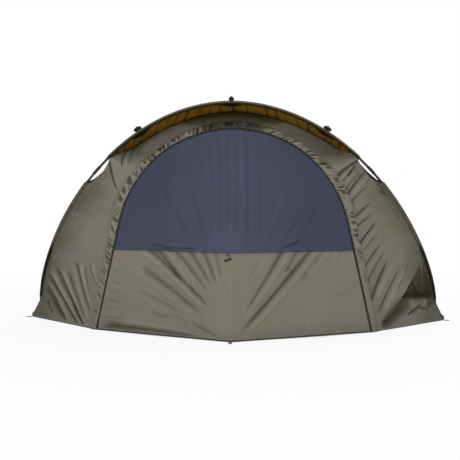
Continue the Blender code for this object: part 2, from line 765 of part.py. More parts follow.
def wing_outer_edge(sign):
    """The front panel's outer edge, from its pegged corner up the front rib and back under the hood.

    It gives the edge's points and the share of its length at each.
    """
    points = [Vector((CORNER_X, -CORNER_FORWARD, HEM_HEIGHT))]
    beside_sleeve = SLEEVE_RADIUS + TOUCH_GAP
    under_hood = OVER_SLEEVE - CLOTH - 2 * CLOTH_GAP - LINING - HOOD_CLEARANCE
    for share in knots_between(1, RIB_SEGMENTS // 2):
        a, b, out = ruling(FRONT, SECOND, 0.0, 0.0, share)
        inward = DOORWAY.point(2 * share, ZIP_EDGE, -1) - a
        inward -= FRONT.along(share) * inward.dot(FRONT.along(share))
        beside = a + inward.normalized() * (beside_sleeve + BARE_DEPTH * bare_way(share))
        hood = hood_share(a.x) * (b - a).length
        under = a + (b - a).normalized() * hood + out * under_hood
        point = beside.lerp(under, smoothstep(hood / BARE_DEPTH))
        points.append(Vector((abs(point.x), point.y, point.z)))
    points[-1].x = 0.0
    midway = [(p + q) / 2 for p, q in zip(points, points[1:])]
    points = [p for pair in zip(points, midway) for p in pair] + points[-1:]
    lengths = [0.0]
    for p, q in zip(points, points[1:]):
        lengths.append(lengths[-1] + (q - p).length)
    return [Vector((sign * p.x, p.y, p.z)) for p in points], [run / lengths[-1] for run in lengths]


def point_on(points, marks, share):
    index = next((i for i, mark in enumerate(marks) if mark >= share), len(marks) - 1)
    if index == 0:
        return points[0].copy()
    part = (share - marks[index - 1]) / (marks[index] - marks[index - 1])
    return points[index - 1].lerp(points[index], part)


def wing_surface(sign, outer, up, out):
    """A point of the front panel: up is the share from the hem to the crown, out the share from zip to edge."""
    inner = DOORWAY.point(up, ZIP_EDGE, sign)
    return inner.lerp(point_on(*outer, up), out)


def front_wing(side, sign, table):
    """Half of the front panel, beside and over the door."""
    outer = wing_outer_edge(sign)
    centre_gap = CLOTH_GAP / 2
    grid = []
    for up in outer[1]:
        row = []
        for out in shares(0, 1, WING_COLUMNS):
            point = wing_surface(sign, outer, up, out)
            hold = smoothstep((out - 0.16) * 5) * smoothstep((1 - out) * 7) * smoothstep(up * 9)
            point.y -= crease(point.x, point.z, table) * hold
            if abs(point.x) < centre_gap:
                point.x = sign * centre_gap
            row.append(point)
        grid.append(row)
    cloth(f"front_wing_{side}", grid, CLOTH, SHELL_CLOTH)


def gutter(side, sign):
    """The gathered storm flap that stands over the zip, on the front panel's inner margin."""
    outer = wing_outer_edge(sign)
    lift = CLOTH / 2 + GUTTER_STANDOFF + CLOTH / 2
    centre_gap = CLOTH_GAP / 2
    grid = []
    for up in outer[1]:
        inner = DOORWAY.point(up, ZIP_EDGE, sign)
        edge = point_on(*outer, up)
        across = (edge - inner).normalized()
        step = 1 / RIB_SAMPLES
        along = DOORWAY.point(min(1, up + step), ZIP_EDGE, sign) - DOORWAY.point(max(0, up - step), ZIP_EDGE, sign)
        front = along.cross(across).normalized()
        if front.y > 0:
            front.negate()
        width = min(GUTTER_WIDTH, (edge - inner).length - GUTTER_START - CLOTH_GAP)
        row = []
        for way in shares(0, 1, GUTTER_COLUMNS):
            rise = GUTTER_CROWN * math.sin(math.pi * way)
            point = inner + across * (GUTTER_START - ZIP_EDGE + width * way) + front * (lift + rise)
            if abs(point.x) < centre_gap:
                point.x = sign * centre_gap
            row.append(point)
        grid.append(row)
    cloth(f"storm_gutter_{side}", grid, CLOTH, SHELL_CLOTH)


def door_surface(x, z):
    """The door bulges forward to a ridge down its middle, most at the ground."""
    edge = DOORWAY.half_width(z, 0.0)
    ridge = DOOR_BULGE * (1 - z / DOOR_HEIGHT)
    return -DOOR_FORWARD - ridge * max(0.0, 1 - abs(x) / edge)


def door_panel(name, heights, columns, table, finish):
    low, high = heights[0], heights[-1]
    grid = []
    for z in heights:
        half = DOORWAY.half_width(z, -DOOR_EDGE)
        row = []
        for across in shares(-1, 1, columns):
            x = across * half
            hold = smoothstep((1 - abs(across)) * 7) * smoothstep((high - z) / CREASE_BREADTH)
            hold *= smoothstep((z - low) / CREASE_BREADTH)
            row.append(Vector((x, door_surface(x, z) - crease(x, z, table) * hold, z)))
        grid.append(row)
    cloth(name, grid, CLOTH, finish)


def door():
    """The door: a solid skirt with a mesh window over it."""
    skirt = shares(HEM_HEIGHT, MESH_SILL - TOUCH_GAP / 2, DOOR_ROWS)
    door_panel("door_skirt", skirt, DOOR_COLUMNS + 1, DOOR_CREASE_SHARES, SHELL_CLOTH)
    sill = MESH_SILL + TOUCH_GAP / 2
    marks = wing_outer_edge(1)[1][::2]
    heights = [DOORWAY.point(mark, -DOOR_EDGE, 1).z for mark in marks[:-1]]
    window = [sill] + [z for z in heights if z > sill + CLOTH]
    door_panel("door_mesh", window, DOOR_COLUMNS // 2 + 1, (), MESH_CLOTH)


def door_zip(side, sign):
    points = [DOORWAY.point(mark, 0.0, sign) for mark in wing_outer_edge(sign)[1]]
    points[0].z += ZIP_RADIUS
    points[-1].x += sign * TOUCH_GAP
    place(wire(f"door_zip_{side}", points, ZIP_RADIUS, roundness=ZIP_SIDES // 2 - 2), ZIP_NYLON)


def zip_slider(side, sign):
    """A slider on the front of the zip at the foot of its jamb, with its pull hanging below."""
    up = DOORWAY.up_jamb(sign)
    foot = DOORWAY.point(0, 0.0, sign)
    across = up.cross(Vector((0, -1, 0))).normalized()
    frame = Matrix((across, up, Vector((0, -1, 0)))).transposed().to_4x4()
    frame.translation = foot + up * SLIDER_UP_JAMB
    back = ZIP_RADIUS + SLIDER_STANDOFF - CLOTH
    plate = box(
        f"zip_slider_{side}",
        (SLIDER_WIDTH, SLIDER_LENGTH, SLIDER_THICKNESS),
        (0, 0, back + SLIDER_THICKNESS / 2),
    )
    keel_back = ZIP_RADIUS + TOUCH_GAP
    keel_front = back + SLIDER_THICKNESS / 2
    keel = box(
        f"zip_keel_{side}",
        (SLIDER_KEEL, SLIDER_LENGTH / 2, keel_front - keel_back),
        (0, 0, (keel_front + keel_back) / 2),
    )
    pull = box(
        f"zip_pull_{side}",
        (PULL_WIDTH, PULL_LENGTH, PULL_THICKNESS),
        (0, -PULL_LENGTH / 2, back + SLIDER_THICKNESS),
    )
    for extra in (keel, pull):
        helper(extra).matrix_world = frame
        boolean(plate, extra, "UNION")
    plate.matrix_world = frame
    place(plate, ZIP_NYLON)


def sleeves():
    """Cloth sleeves on the front rib: one along each leg and one over the hood, clear of its ferrules."""
    for side, sign in SIDES.items():
        leg = mirrored(FRONT.path(1 / RIB_SEGMENTS, BARE_LOW_SHARE), sign)
        hollow_tube(f"leg_sleeve_{side}", leg, SLEEVE_WALL, SHELL_CLOTH)
    crown = FRONT.path(BARE_HIGH_SHARE, 1 - BARE_HIGH_SHARE)
    hollow_tube("hood_sleeve", crown, SLEEVE_WALL, SHELL_CLOTH)


# Tension bars

def bar_frame(x):
    """A frame at a tension bar's stud: X runs back along the bar, Z out of the roof."""
    a, b, out = ruling(FRONT, SECOND, 0.0, 0.0, FRONT.share_at_x(x))
    back = (b - a).normalized()
    frame = Matrix((back, out.cross(back), out)).transposed().to_4x4()
    frame.translation = a
    return frame, (b - a).length


def tension_bar(name, x):
    """A bar that turns on a stud on the front rib, with its tail on a rest on the second rib."""
    frame, length = bar_frame(x)
    flange_low = OVER_SLEEVE + CLOTH / 2 + CLOTH_GAP
    cap_low = BAR_LIFT - BAR_CAP_HEIGHT
    cap_high = BAR_LIFT + BAR_CAP_HEIGHT
    head_low = cap_high + TOUCH_GAP
    flange_high = cap_low - TOUCH_GAP
    stud = turned(
        f"bar_stud_{name}",
        [
            (0, head_low + STUD_HEAD_THICKNESS),
            (STUD_HEAD_RADIUS * 0.7, head_low + STUD_HEAD_THICKNESS),
            (STUD_HEAD_RADIUS, head_low),
            (STUD_RADIUS, head_low),
            (STUD_RADIUS, flange_high),
            (STUD_FLANGE_RADIUS * 0.8, flange_high),
            (STUD_FLANGE_RADIUS, flange_low),
            (0, flange_low),
        ],
        BLACK_PLASTIC,
    )
    stud.matrix_world = frame
    shape = bmesh.new()
    bmesh.ops.create_uvsphere(shape, u_segments=16, v_segments=9, radius=1)
    size = Vector((BAR_CAP_LENGTH, BAR_CAP_WIDTH, BAR_CAP_HEIGHT))
    bmesh.ops.scale(shape, vec=size, verts=shape.verts)
    bmesh.ops.translate(shape, vec=Vector((0, 0, BAR_LIFT)), verts=shape.verts)
    bar = object_from_bmesh(f"tension_bar_{name}", shape)
    rod = cylinder(f"bar_rod_{name}", BAR_RADIUS, length, (length / 2, 0, BAR_LIFT), (1, 0, 0), 12)
    shape = bmesh.new()
    bmesh.ops.create_uvsphere(shape, u_segments=12, v_segments=7, radius=BAR_TAIL_RADIUS)
    bmesh.ops.translate(shape, vec=Vector((length, 0, BAR_LIFT)), verts=shape.verts)
    tail = object_from_bmesh(f"bar_tail_{name}", shape)
    eye = cylinder(
        f"bar_eye_{name}", STUD_RADIUS + PIN_CLEARANCE, 4 * BAR_CAP_HEIGHT, (0, 0, BAR_LIFT), (0, 0, 1), 16
    )
    for extra, operation in ((rod, "UNION"), (tail, "UNION"), (eye, "DIFFERENCE")):
        helper(extra).matrix_world = frame
        boolean(bar, extra, operation)
    bar.matrix_world = frame
    place(bar, BLACK_PLASTIC)
    smooth(bar)
    rest_low = OVER_RIB + CLOTH / 2 + REST_STANDOFF
    rest_high = BAR_LIFT - BAR_TAIL_RADIUS - TOUCH_GAP
    rest = box(
        f"bar_rest_{name}",
        (REST_LENGTH, REST_WIDTH, rest_high - rest_low),
        (length, 0, (rest_low + rest_high) / 2),
    )
    away = -1 if x > 0 else 1
    lip = box(
        f"bar_lip_{name}",
        (REST_LENGTH, REST_LIP, rest_high - rest_low + REST_LIP_HEIGHT),
        (length, away * (REST_WIDTH - REST_LIP) / 2, (rest_low + rest_high + REST_LIP_HEIGHT) / 2),
    )
    helper(lip).matrix_world = frame
    boolean(rest, lip, "UNION")
    rest.matrix_world = frame
    place(rest, BLACK_PLASTIC)


# Floor and fittings

def groundsheet():
    """A flat floor inside the hems: an arch behind the hubs and a shallow point before them."""
    outline = []
    power = 2 / GROUND_FULLNESS
    for step in range(SHEET_STATIONS + 1):
        turn = math.pi * step / SHEET_STATIONS
        x = math.copysign(abs(math.cos(turn)) ** power, math.cos(turn)) * SHEET_HALF_WIDTH
        y = max(0.0, math.sin(turn)) ** power * (GROUND_REACH - 2 * SHEET_INSET)
        outline.append((x, y))
    front = SHEET_INSET - DOOR_FORWARD
    outline += [(-DOOR_FOOT_X, front), (0, front - DOOR_BULGE), (DOOR_FOOT_X, front)]
    frame = Matrix.Translation((0, 0, SHEET_THICKNESS / 2))
    outline_plate("groundsheet", outline, SHEET_THICKNESS, SHEET_CLOTH, frame)


def toggle():
    """The bar toggle that ties the rolled door, on its tab just under the mesh window."""
    toggle_height = MESH_SILL - TOGGLE_DROP
    front = door_surface(TOGGLE_X, toggle_height) - CLOTH / 2 - CREASE_DEPTH
    tab_y = front - CLOTH_GAP - TAB_THICKNESS / 2
    tab = box(
        "door_toggle_tab",
        (TAB_WIDTH, TAB_THICKNESS, TAB_LENGTH),
        (TOGGLE_X, tab_y, toggle_height + TAB_LENGTH / 2),
    )
    post_back = door_surface(TOGGLE_X, toggle_height + TAB_LENGTH / 2) - CLOTH / 2 - CLOTH_GAP
    post = box(
        "toggle_post",
        (TAB_WIDTH, post_back - tab_y, TAB_WIDTH),
        (TOGGLE_X, (post_back + tab_y) / 2, toggle_height + TAB_LENGTH - TAB_WIDTH / 2),
    )
    boolean(tab, helper(post), "UNION")
    place(tab, BLACK_WEBBING)
    half = TOGGLE_LENGTH / 2
    profile = [
        (0, half),
        (TOGGLE_RADIUS * 0.8, half),
        (TOGGLE_RADIUS, half * 0.8),
        (TOGGLE_WAIST, half * 0.2),
        (TOGGLE_WAIST, -half * 0.2),
        (TOGGLE_RADIUS, -half * 0.8),
        (TOGGLE_RADIUS * 0.8, -half),
        (0, -half),
    ]
    obj = turned("door_toggle", profile, BLACK_PLASTIC, steps=16)
    turn = Matrix.Rotation(math.radians(90 + TOGGLE_TILT_DEGREES), 4, "Y")
    y = tab_y - TAB_THICKNESS / 2 - CLOTH_GAP - TOGGLE_WAIST
    obj.matrix_world = Matrix.Translation((TOGGLE_X, y, toggle_height)) @ turn


def peg_loop(name, at, away, finish=BLACK_WEBBING):
    """A webbing loop lying flat on the ground outside the hem, with an eye for a peg."""
    across = Vector((-away.y, away.x, 0))
    frame = Matrix((across, away, Vector((0, 0, 1)))).transposed().to_4x4()
    frame.translation = at + Vector((0, 0, LOOP_THICKNESS / 2))
    half = LOOP_WIDTH / 2
    outline = [(-half, 0), (half, 0)]
    steps = 8
    for step in range(steps + 1):
        turn = math.pi * step / steps
        outline.append((half * math.cos(turn), LOOP_LENGTH - half + half * math.sin(turn)))
    obj = outline_plate(name, outline, LOOP_THICKNESS, None)
    eye = cylinder(name + "_eye", LOOP_EYE_RADIUS, 4 * LOOP_THICKNESS, (0, LOOP_LENGTH - half, 0), (0, 0, 1), 16)
    helper(eye).matrix_world = frame
    boolean(obj, eye, "DIFFERENCE")
    obj.matrix_world = frame
    place(obj, finish)


def peg_loops():
    away = Vector((0, -1, 0))
    clear = CLOTH / 2 + TOUCH_GAP
    ridge = door_surface(0, HEM_HEIGHT) - clear
    peg_loop("peg_loop_front", Vector((0, ridge, 0)), away)
    foot, out = rear_wall(0.5, rear_hem(0.5))
    peg_loop("peg_loop_rear", Vector((0, foot.y + clear * out.y + TOUCH_GAP, 0)), -away)
    for side, sign in SIDES.items():
        out = Vector((sign, -CORNER_FORWARD / CORNER_X, 0)).normalized()
        peg_loop(f"peg_loop_{side}", Vector((sign * (CORNER_X + CLOTH / 2), -CORNER_FORWARD, 0)), out)


def build():
    pivot_start = TUBE_START_IN_EYE
    rib_tubes("front_rib", FRONT, FRONT.share_at_height(pivot_start), True)
    rib_tubes("second_rib", SECOND, SECOND.share_at_height(pivot_start), True)
    rib_tubes("third_rib", THIRD, THIRD.share_at_height(pivot_start), True)
    rib_tubes("ground_rib", GROUND, GROUND.share_at_height(pivot_start), False)
    for side, sign in SIDES.items():
        hub(side, sign)
    stations = knots_between(1, RIB_SEGMENTS - 1)
    seams = (RIB_SEAM, RIB_SEAM)
    roof_panel("hood_roof", FRONT, SECOND, (OVER_SLEEVE, OVER_RIB), PEAK_SAG, seams, stations, 4, CLOTH, SHELL_CLOTH)
    lining_drop = CLOTH / 2 + CLOTH_GAP + LINING / 2
    first_lined = JOINT_SEGMENT + BARE_SEGMENTS
    lining_stations = knots_between(first_lined, RIB_SEGMENTS - first_lined)
    trims = (LINING_TRIM, LINING_TRIM)
    roof_panel(
        "hood_lining", FRONT, SECOND, (OVER_SLEEVE, OVER_RIB), PEAK_SAG, trims, lining_stations, 4, LINING,
        LINING_CLOTH, lining_drop,
    )
    roof_panel("main_roof", SECOND, THIRD, (OVER_RIB, OVER_RIB), ROOF_SAG, seams, stations, 6, CLOTH, SHELL_CLOTH)
    rear_panel(stations, 7)
    rear_vent()
    sleeves()
    front_wing("left", -1, LEFT_WING_CREASE_SHARES)
    front_wing("right", 1, RIGHT_WING_CREASE_SHARES)
    for side, sign in SIDES.items():
        gutter(side, sign)
        door_zip(side, sign)
        zip_slider(side, sign)
    door()
    toggle()
    tension_bar("left", -BAR_SIDE_X)
    tension_bar("centre", 0)
    tension_bar("right", BAR_SIDE_X)
    groundsheet()
    peg_loops()


build()
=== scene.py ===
"""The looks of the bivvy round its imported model: cloth, seams, zips, fittings, materials, light and camera.

Everything is in metres in the model's own frame: the origin is on the ground between the hubs, the front
faces -Y and +X is to the right seen from the front. The surfaces follow the same rules as the
construction's panels, and the folds, gathers and seams are worked into them here.
"""

import math

import bmesh
import bpy
import numpy as np

from mathutils import Matrix, Vector

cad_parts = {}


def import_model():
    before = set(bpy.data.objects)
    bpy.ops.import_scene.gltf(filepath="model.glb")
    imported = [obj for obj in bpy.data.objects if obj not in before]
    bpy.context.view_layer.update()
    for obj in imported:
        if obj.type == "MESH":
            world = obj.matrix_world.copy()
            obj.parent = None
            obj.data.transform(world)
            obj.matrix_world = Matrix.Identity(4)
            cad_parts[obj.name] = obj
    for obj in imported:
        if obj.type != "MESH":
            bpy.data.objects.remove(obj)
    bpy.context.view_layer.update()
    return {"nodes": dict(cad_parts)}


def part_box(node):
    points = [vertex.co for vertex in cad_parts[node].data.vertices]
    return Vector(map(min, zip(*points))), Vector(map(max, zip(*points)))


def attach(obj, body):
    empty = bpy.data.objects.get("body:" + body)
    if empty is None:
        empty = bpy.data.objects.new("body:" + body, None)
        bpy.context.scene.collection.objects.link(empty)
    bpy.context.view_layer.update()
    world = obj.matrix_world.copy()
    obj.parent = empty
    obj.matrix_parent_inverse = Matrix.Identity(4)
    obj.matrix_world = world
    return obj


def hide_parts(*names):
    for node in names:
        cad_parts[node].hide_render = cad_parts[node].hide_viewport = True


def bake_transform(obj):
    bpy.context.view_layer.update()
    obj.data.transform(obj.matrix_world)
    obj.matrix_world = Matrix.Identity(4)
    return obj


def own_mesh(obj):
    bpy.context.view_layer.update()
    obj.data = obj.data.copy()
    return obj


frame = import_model()

MM = 0.001

# Ribs, as the construction has them
TUBE_RADIUS = 8 * MM
TUBE_SIDES = 8
FERRULE_WALL = 1.3 * MM
TOUCH_GAP = 0.3 * MM
CLOTH_GAP = 0.6 * MM
SHELL_STANDOFF = 1.2 * MM
CLOTH = 2.5 * MM
LINING = 2 * MM
SLEEVE_WALL = 2 * MM
HEM_HEIGHT = 2.2 * MM
PIVOT_HEIGHT = 50 * MM
FRONT_EYE_X = 1386 * MM
EYE_PITCH = 40 * MM
SECOND_EYE_X = FRONT_EYE_X - EYE_PITCH
THIRD_EYE_X = SECOND_EYE_X - EYE_PITCH
GROUND_RIB_X = FRONT_EYE_X + EYE_PITCH
FRONT_REACH = 1547 * MM
SECOND_REACH = 1405 * MM
THIRD_REACH = 1380 * MM
GROUND_REACH = 1600 * MM
GROUND_RIB_HEIGHT = 12.5 * MM
FRONT_RISE_DEGREES = 116.7
SECOND_RISE_DEGREES = 107.0
THIRD_RISE_DEGREES = 58.0
FRONT_LEG_FULLNESS = 1.96
FRONT_CROWN_FULLNESS = 1.465
SECOND_FULLNESS = 1.76
THIRD_FULLNESS = 1.95
GROUND_FULLNESS = 2.1
RIB_SEGMENTS = 40
RIB_FIRST = 1 / RIB_SEGMENTS
JOINT_SEGMENT = 11
BARE_SEGMENTS = 1
BARE_LOW_SHARE = (JOINT_SEGMENT - BARE_SEGMENTS) / RIB_SEGMENTS
BARE_HIGH_SHARE = (JOINT_SEGMENT + BARE_SEGMENTS) / RIB_SEGMENTS
BARE_DEPTH = 22 * MM
RIB_SAMPLES = 3000
BORE = (TUBE_RADIUS + TOUCH_GAP) / math.cos(math.pi / TUBE_SIDES)
FERRULE_RADIUS = BORE + FERRULE_WALL
SLEEVE_RADIUS = BORE + SLEEVE_WALL / math.cos(math.pi / TUBE_SIDES)
OVER_RIB = FERRULE_RADIUS + SHELL_STANDOFF + CLOTH / 2
OVER_SLEEVE = SLEEVE_RADIUS + SHELL_STANDOFF + CLOTH / 2

# Shell
PEAK_SAG = 6 * MM
ROOF_SAG = 26 * MM
REAR_SAG = 22 * MM
REAR_STANDOFF = 2.5 * MM
SEAM_GAP = 0.6 * MM
CLOTH_LOOK = 1.4 * MM
HOOD_EDGE_OFFSET = 11 * MM
HOOD_NOTCH_DEPTH = 160 * MM
HOOD_NOTCH_POWER = 0.32
BARE_POWER = 0.7

# Door and front panel
DOOR_FORWARD = 500 * MM
DOOR_FOOT_X = 879 * MM
DOOR_HEIGHT = 1287 * MM
DOOR_ROUND = 740 * MM
DOOR_BULGE = 330 * MM
MESH_SILL = 520 * MM
ZIP_RADIUS = 2.5 * MM
ZIP_EDGE = ZIP_RADIUS / math.cos(math.pi / 6) + CLOTH_GAP
DOOR_EDGE = ZIP_RADIUS + TOUCH_GAP
CORNER_X = 1434 * MM
CORNER_FORWARD = 66 * MM
HOOD_CLEARANCE = 9 * MM
FULL_HOOD_X = 665 * MM
NO_HOOD_X = 790 * MM
HOOD_DEPTH_SHARE = 0.93

# Directions, sides and the hubs' axis
FORWARD = (0.0, -1.0, 0.0)
UPWARD = (0.0, 0.0, 1.0)
FRONT_PLANE = (0.0, -math.sin(math.radians(FRONT_RISE_DEGREES)), math.cos(math.radians(FRONT_RISE_DEGREES)))
HUB = (0.0, 0.0, PIVOT_HEIGHT)
SIDES = {"left": -1, "right": 1}
BAR_SIDE_X = 572 * MM
BAR_PLACES = {"left": -BAR_SIDE_X, "centre": 0.0, "right": BAR_SIDE_X}


# Small helpers on arrays of points

def unit(vectors):
    return vectors / np.maximum(np.linalg.norm(vectors, axis=-1, keepdims=True), 1e-12)


def lengths(vectors):
    return np.linalg.norm(vectors, axis=-1)


def smoothstep(value):
    value = np.clip(value, 0.0, 1.0)
    return value * value * (3 - 2 * value)


def ramp(value, start, end):
    """A soft step from 0 at the start to 1 at the end, which may be below the start."""
    return smoothstep((value - start) / (end - start))


def bell(value, width):
    """1 where the value is 0, and fading to both sides over this width."""
    return np.exp(-((value / width) ** 2))


def mix(a, b, share):
    """Between a and b, by a share for each point."""
    return a + (b - a) * np.asarray(share)[..., None]


def steps(first, last, count):
    """Rows of even steps, each from its own first value to its own last one."""
    return first[:, None] + (last - first)[:, None] * np.linspace(0, 1, count)[None, :]


def resampled(points, shares):
    """The points at these shares of a line's length."""
    run = np.r_[0, np.cumsum(lengths(np.diff(points, axis=0)))]
    run /= run[-1]
    return np.stack([np.interp(shares, run, points[:, axis]) for axis in range(3)], -1)


class Arch:
    """A rib's centre line, read by the share of its length from the left foot (0) to the right foot (1)."""

    def __init__(self, half_width, reach, rise_degrees, leg_fullness, crown_fullness, foot_height):
        turn = np.linspace(0, np.pi, RIB_SAMPLES + 1)
        self.x = -np.sign(np.cos(turn)) * np.abs(np.cos(turn)) ** (2 / leg_fullness) * half_width
        self.height = np.maximum(0, np.sin(turn)) ** (2 / crown_fullness) * reach
        run = np.r_[0, np.cumsum(np.hypot(np.diff(self.x), np.diff(self.height)))]
        self.length = run[-1]
        self.shares = run / run[-1]
        self.rise = math.radians(rise_degrees)
        self.foot_height = foot_height

    def at(self, share):
        x = np.interp(share, self.shares, self.x)
        height = np.interp(share, self.shares, self.height)
        y, up = height * math.cos(self.rise), height * math.sin(self.rise)
        return np.stack([x, y, self.foot_height + up], -1)

    def along(self, share):
        step = 0.002
        return unit(self.at(np.minimum(1, share + step)) - self.at(np.maximum(0, share - step)))

    def share_at_x(self, x):
        return np.interp(x, self.x, self.shares)


FRONT = Arch(
    FRONT_EYE_X, FRONT_REACH, FRONT_RISE_DEGREES, FRONT_LEG_FULLNESS, FRONT_CROWN_FULLNESS, PIVOT_HEIGHT
)
SECOND = Arch(SECOND_EYE_X, SECOND_REACH, SECOND_RISE_DEGREES, SECOND_FULLNESS, SECOND_FULLNESS, PIVOT_HEIGHT)
THIRD = Arch(THIRD_EYE_X, THIRD_REACH, THIRD_RISE_DEGREES, THIRD_FULLNESS, THIRD_FULLNESS, PIVOT_HEIGHT)
GROUND = Arch(GROUND_RIB_X, GROUND_REACH, 0, GROUND_FULLNESS, GROUND_FULLNESS, GROUND_RIB_HEIGHT)


def panel_out(front, back, share):
    """The way out of the tent, square to the cloth between two ribs."""
    a, b = front.at(share), back.at(share)
    out = unit(np.cross(front.along(share) + back.along(share), b - a))
    inward = ((a + b - 2 * np.array(HUB)) * out).sum(-1, keepdims=True) < 0
    return np.where(inward, -out, out)


def rib_out(arch, share):
    """The way out at a rib: midway between the ways out of the panels that meet there."""
    panels = [pair for pair in ((FRONT, SECOND), (SECOND, THIRD), (THIRD, GROUND)) if arch in pair]
    return unit(sum(panel_out(*pair, share) for pair in panels))


class Panel:
    """Taut cloth between two ribs: how far it stands off each, its sag, and the bodies that carry it."""

    def __init__(self, front, back, offsets, sag=0.0, bodies=()):
        self.front, self.back = front, back
        self.offsets = offsets
        self.sag = sag
        self.bodies = bodies

    def ruling(self, share):
        """The ends of the cloth's straight line from rib to rib, and the way out of the tent there."""
        a = self.front.at(share) + rib_out(self.front, share) * self.offsets[0]
        b = self.back.at(share) + rib_out(self.back, share) * self.offsets[1]
        return a, b, panel_out(self.front, self.back, share)

    def width(self, share):
        a, b, _ = self.ruling(share)
        return lengths(b - a)

    def at(self, share, along, drop=0.0):
        """Points at each share of the ribs and each way from rib to rib, and the way out at each share."""
        a, b, out = self.ruling(share)
        dip = self.sag * np.sin(np.pi * np.minimum(along, 1)) * np.sin(np.pi * share)[:, None] + drop
        return mix(a[:, None], b[:, None], along) - out[:, None] * dip[..., None], out[:, None]


HOOD = Panel(FRONT, SECOND, (HOOD_EDGE_OFFSET, OVER_RIB), PEAK_SAG, ("second_rib", "front_rib"))
ROOF = Panel(SECOND, THIRD, (OVER_RIB, OVER_RIB), ROOF_SAG, ("third_rib", "second_rib"))
REAR = Panel(THIRD, GROUND, (OVER_RIB, OVER_RIB + REAR_STANDOFF), REAR_SAG, ("base", "third_rib"))
BETWEEN_FRONT_RIBS = Panel(FRONT, SECOND, (0.0, 0.0))


def bare_way(share, power):
    """From 0 to 1 and back along each bare length of the front rib, between its sleeves."""
    near = np.minimum(share, 1 - share)
    way = np.clip((near - BARE_LOW_SHARE) / (BARE_HIGH_SHARE - BARE_LOW_SHARE), 0, 1)
    return np.maximum(np.sin(np.pi * way), 0) ** power


def hood_notch(share):
    """How far the hood is cut back from the front rib, where the rib is bare."""
    return HOOD_NOTCH_DEPTH * bare_way(share, HOOD_NOTCH_POWER)


class Doorway:
    """The zip line: straight jambs that meet a round top at a tangent, and lines parallel to it."""

    def __init__(self):
        self.centre_z = DOOR_HEIGHT - DOOR_ROUND
        to_foot = math.hypot(DOOR_FOOT_X, self.centre_z)
        self.turn = math.acos(DOOR_ROUND / to_foot) - math.atan2(self.centre_z, DOOR_FOOT_X)

    def at(self, share, offset, sign):
        """Points on the line at this offset outside the zip, from its foot (0) to its top (1)."""
        radius = DOOR_ROUND + offset
        jamb = (self.centre_z + radius * math.sin(self.turn) - HEM_HEIGHT) / math.cos(self.turn)
        run = np.asarray(share, float) * (jamb + radius * (math.pi / 2 - self.turn))
        up = np.minimum(run - jamb, 0)
        angle = self.turn + np.maximum(run - jamb, 0) / radius
        x = radius * np.cos(angle) - up * math.sin(self.turn)
        z = self.centre_z + radius * np.sin(angle) + up * math.cos(self.turn)
        return np.stack([sign * x, np.full_like(x, -DOOR_FORWARD), z], -1)

    def half_width(self, height, offset):
        """Half the width between the two sides of that line at these heights."""
        radius = DOOR_ROUND + offset
        tangent_z = self.centre_z + radius * math.sin(self.turn)
        on_jamb = radius * math.cos(self.turn) + (tangent_z - height) * math.tan(self.turn)
        on_arc = np.sqrt(np.maximum(0, radius**2 - (height - self.centre_z) ** 2))
        return np.where(height < tangent_z, on_jamb, on_arc)


DOORWAY = Doorway()


def wing_outer_edge():
    """The right half of the front panel's outer edge, from its pegged corner to the peak under the hood."""
    share = np.linspace(RIB_FIRST, 0.5, 500)
    a, b, out = BETWEEN_FRONT_RIBS.ruling(share)
    along = FRONT.along(share)
    inward = DOORWAY.at(2 * share, ZIP_EDGE, -1) - a
    inward = unit(inward - along * (inward * along).sum(-1, keepdims=True))
    beside = a + inward * (SLEEVE_RADIUS + TOUCH_GAP + BARE_DEPTH * bare_way(share, BARE_POWER))[:, None]
    hood = HOOD_DEPTH_SHARE * ramp(np.abs(a[:, 0]), NO_HOOD_X, FULL_HOOD_X) * lengths(b - a)
    under_hood = OVER_SLEEVE - CLOTH - 2 * CLOTH_GAP - LINING - HOOD_CLEARANCE
    under = a + unit(b - a) * hood[:, None] + out * under_hood
    edge = mix(beside, under, smoothstep(hood / BARE_DEPTH))
    edge[:, 0] = np.abs(edge[:, 0])
    edge[-1, 0] = 0.0
    return np.vstack([(CORNER_X, -CORNER_FORWARD, HEM_HEIGHT), edge])


WING_EDGE = wing_outer_edge()


def wing_surface(sign, up, out):
    """The front panel's points: up is the share from hem to crown, out the share from the zip to the edge."""
    inner = DOORWAY.at(up, ZIP_EDGE, sign)
    outer = resampled(WING_EDGE, up) * (sign, 1, 1)
    return mix(inner[:, None], outer[:, None], out[None, :])


def door_surface(x, z):
    """The y of the door, which stands forward to a ridge down its middle, most at the ground."""
    ridge = DOOR_BULGE * (1 - z / DOOR_HEIGHT)
    return -DOOR_FORWARD - ridge * np.maximum(0.0, 1 - np.abs(x) / np.maximum(DOORWAY.half_width(z, 0.0), MM))


# Noise and folds

FOLD_HEIGHT = 1.3
FOLD_BREADTH = 1.05
FOLD_BOW = {"left": -0.036, "right": 0.012, "door": 0.012}
FOLD_START_SHARE = 0.6
RIDGE_POWER = 1.6
VALLEY_POWER = 1.25
TUCK_SLANT = 0.42
DINT_HEIGHT_SHARE = 0.35
DINTS_PER_SWELL = 3.1


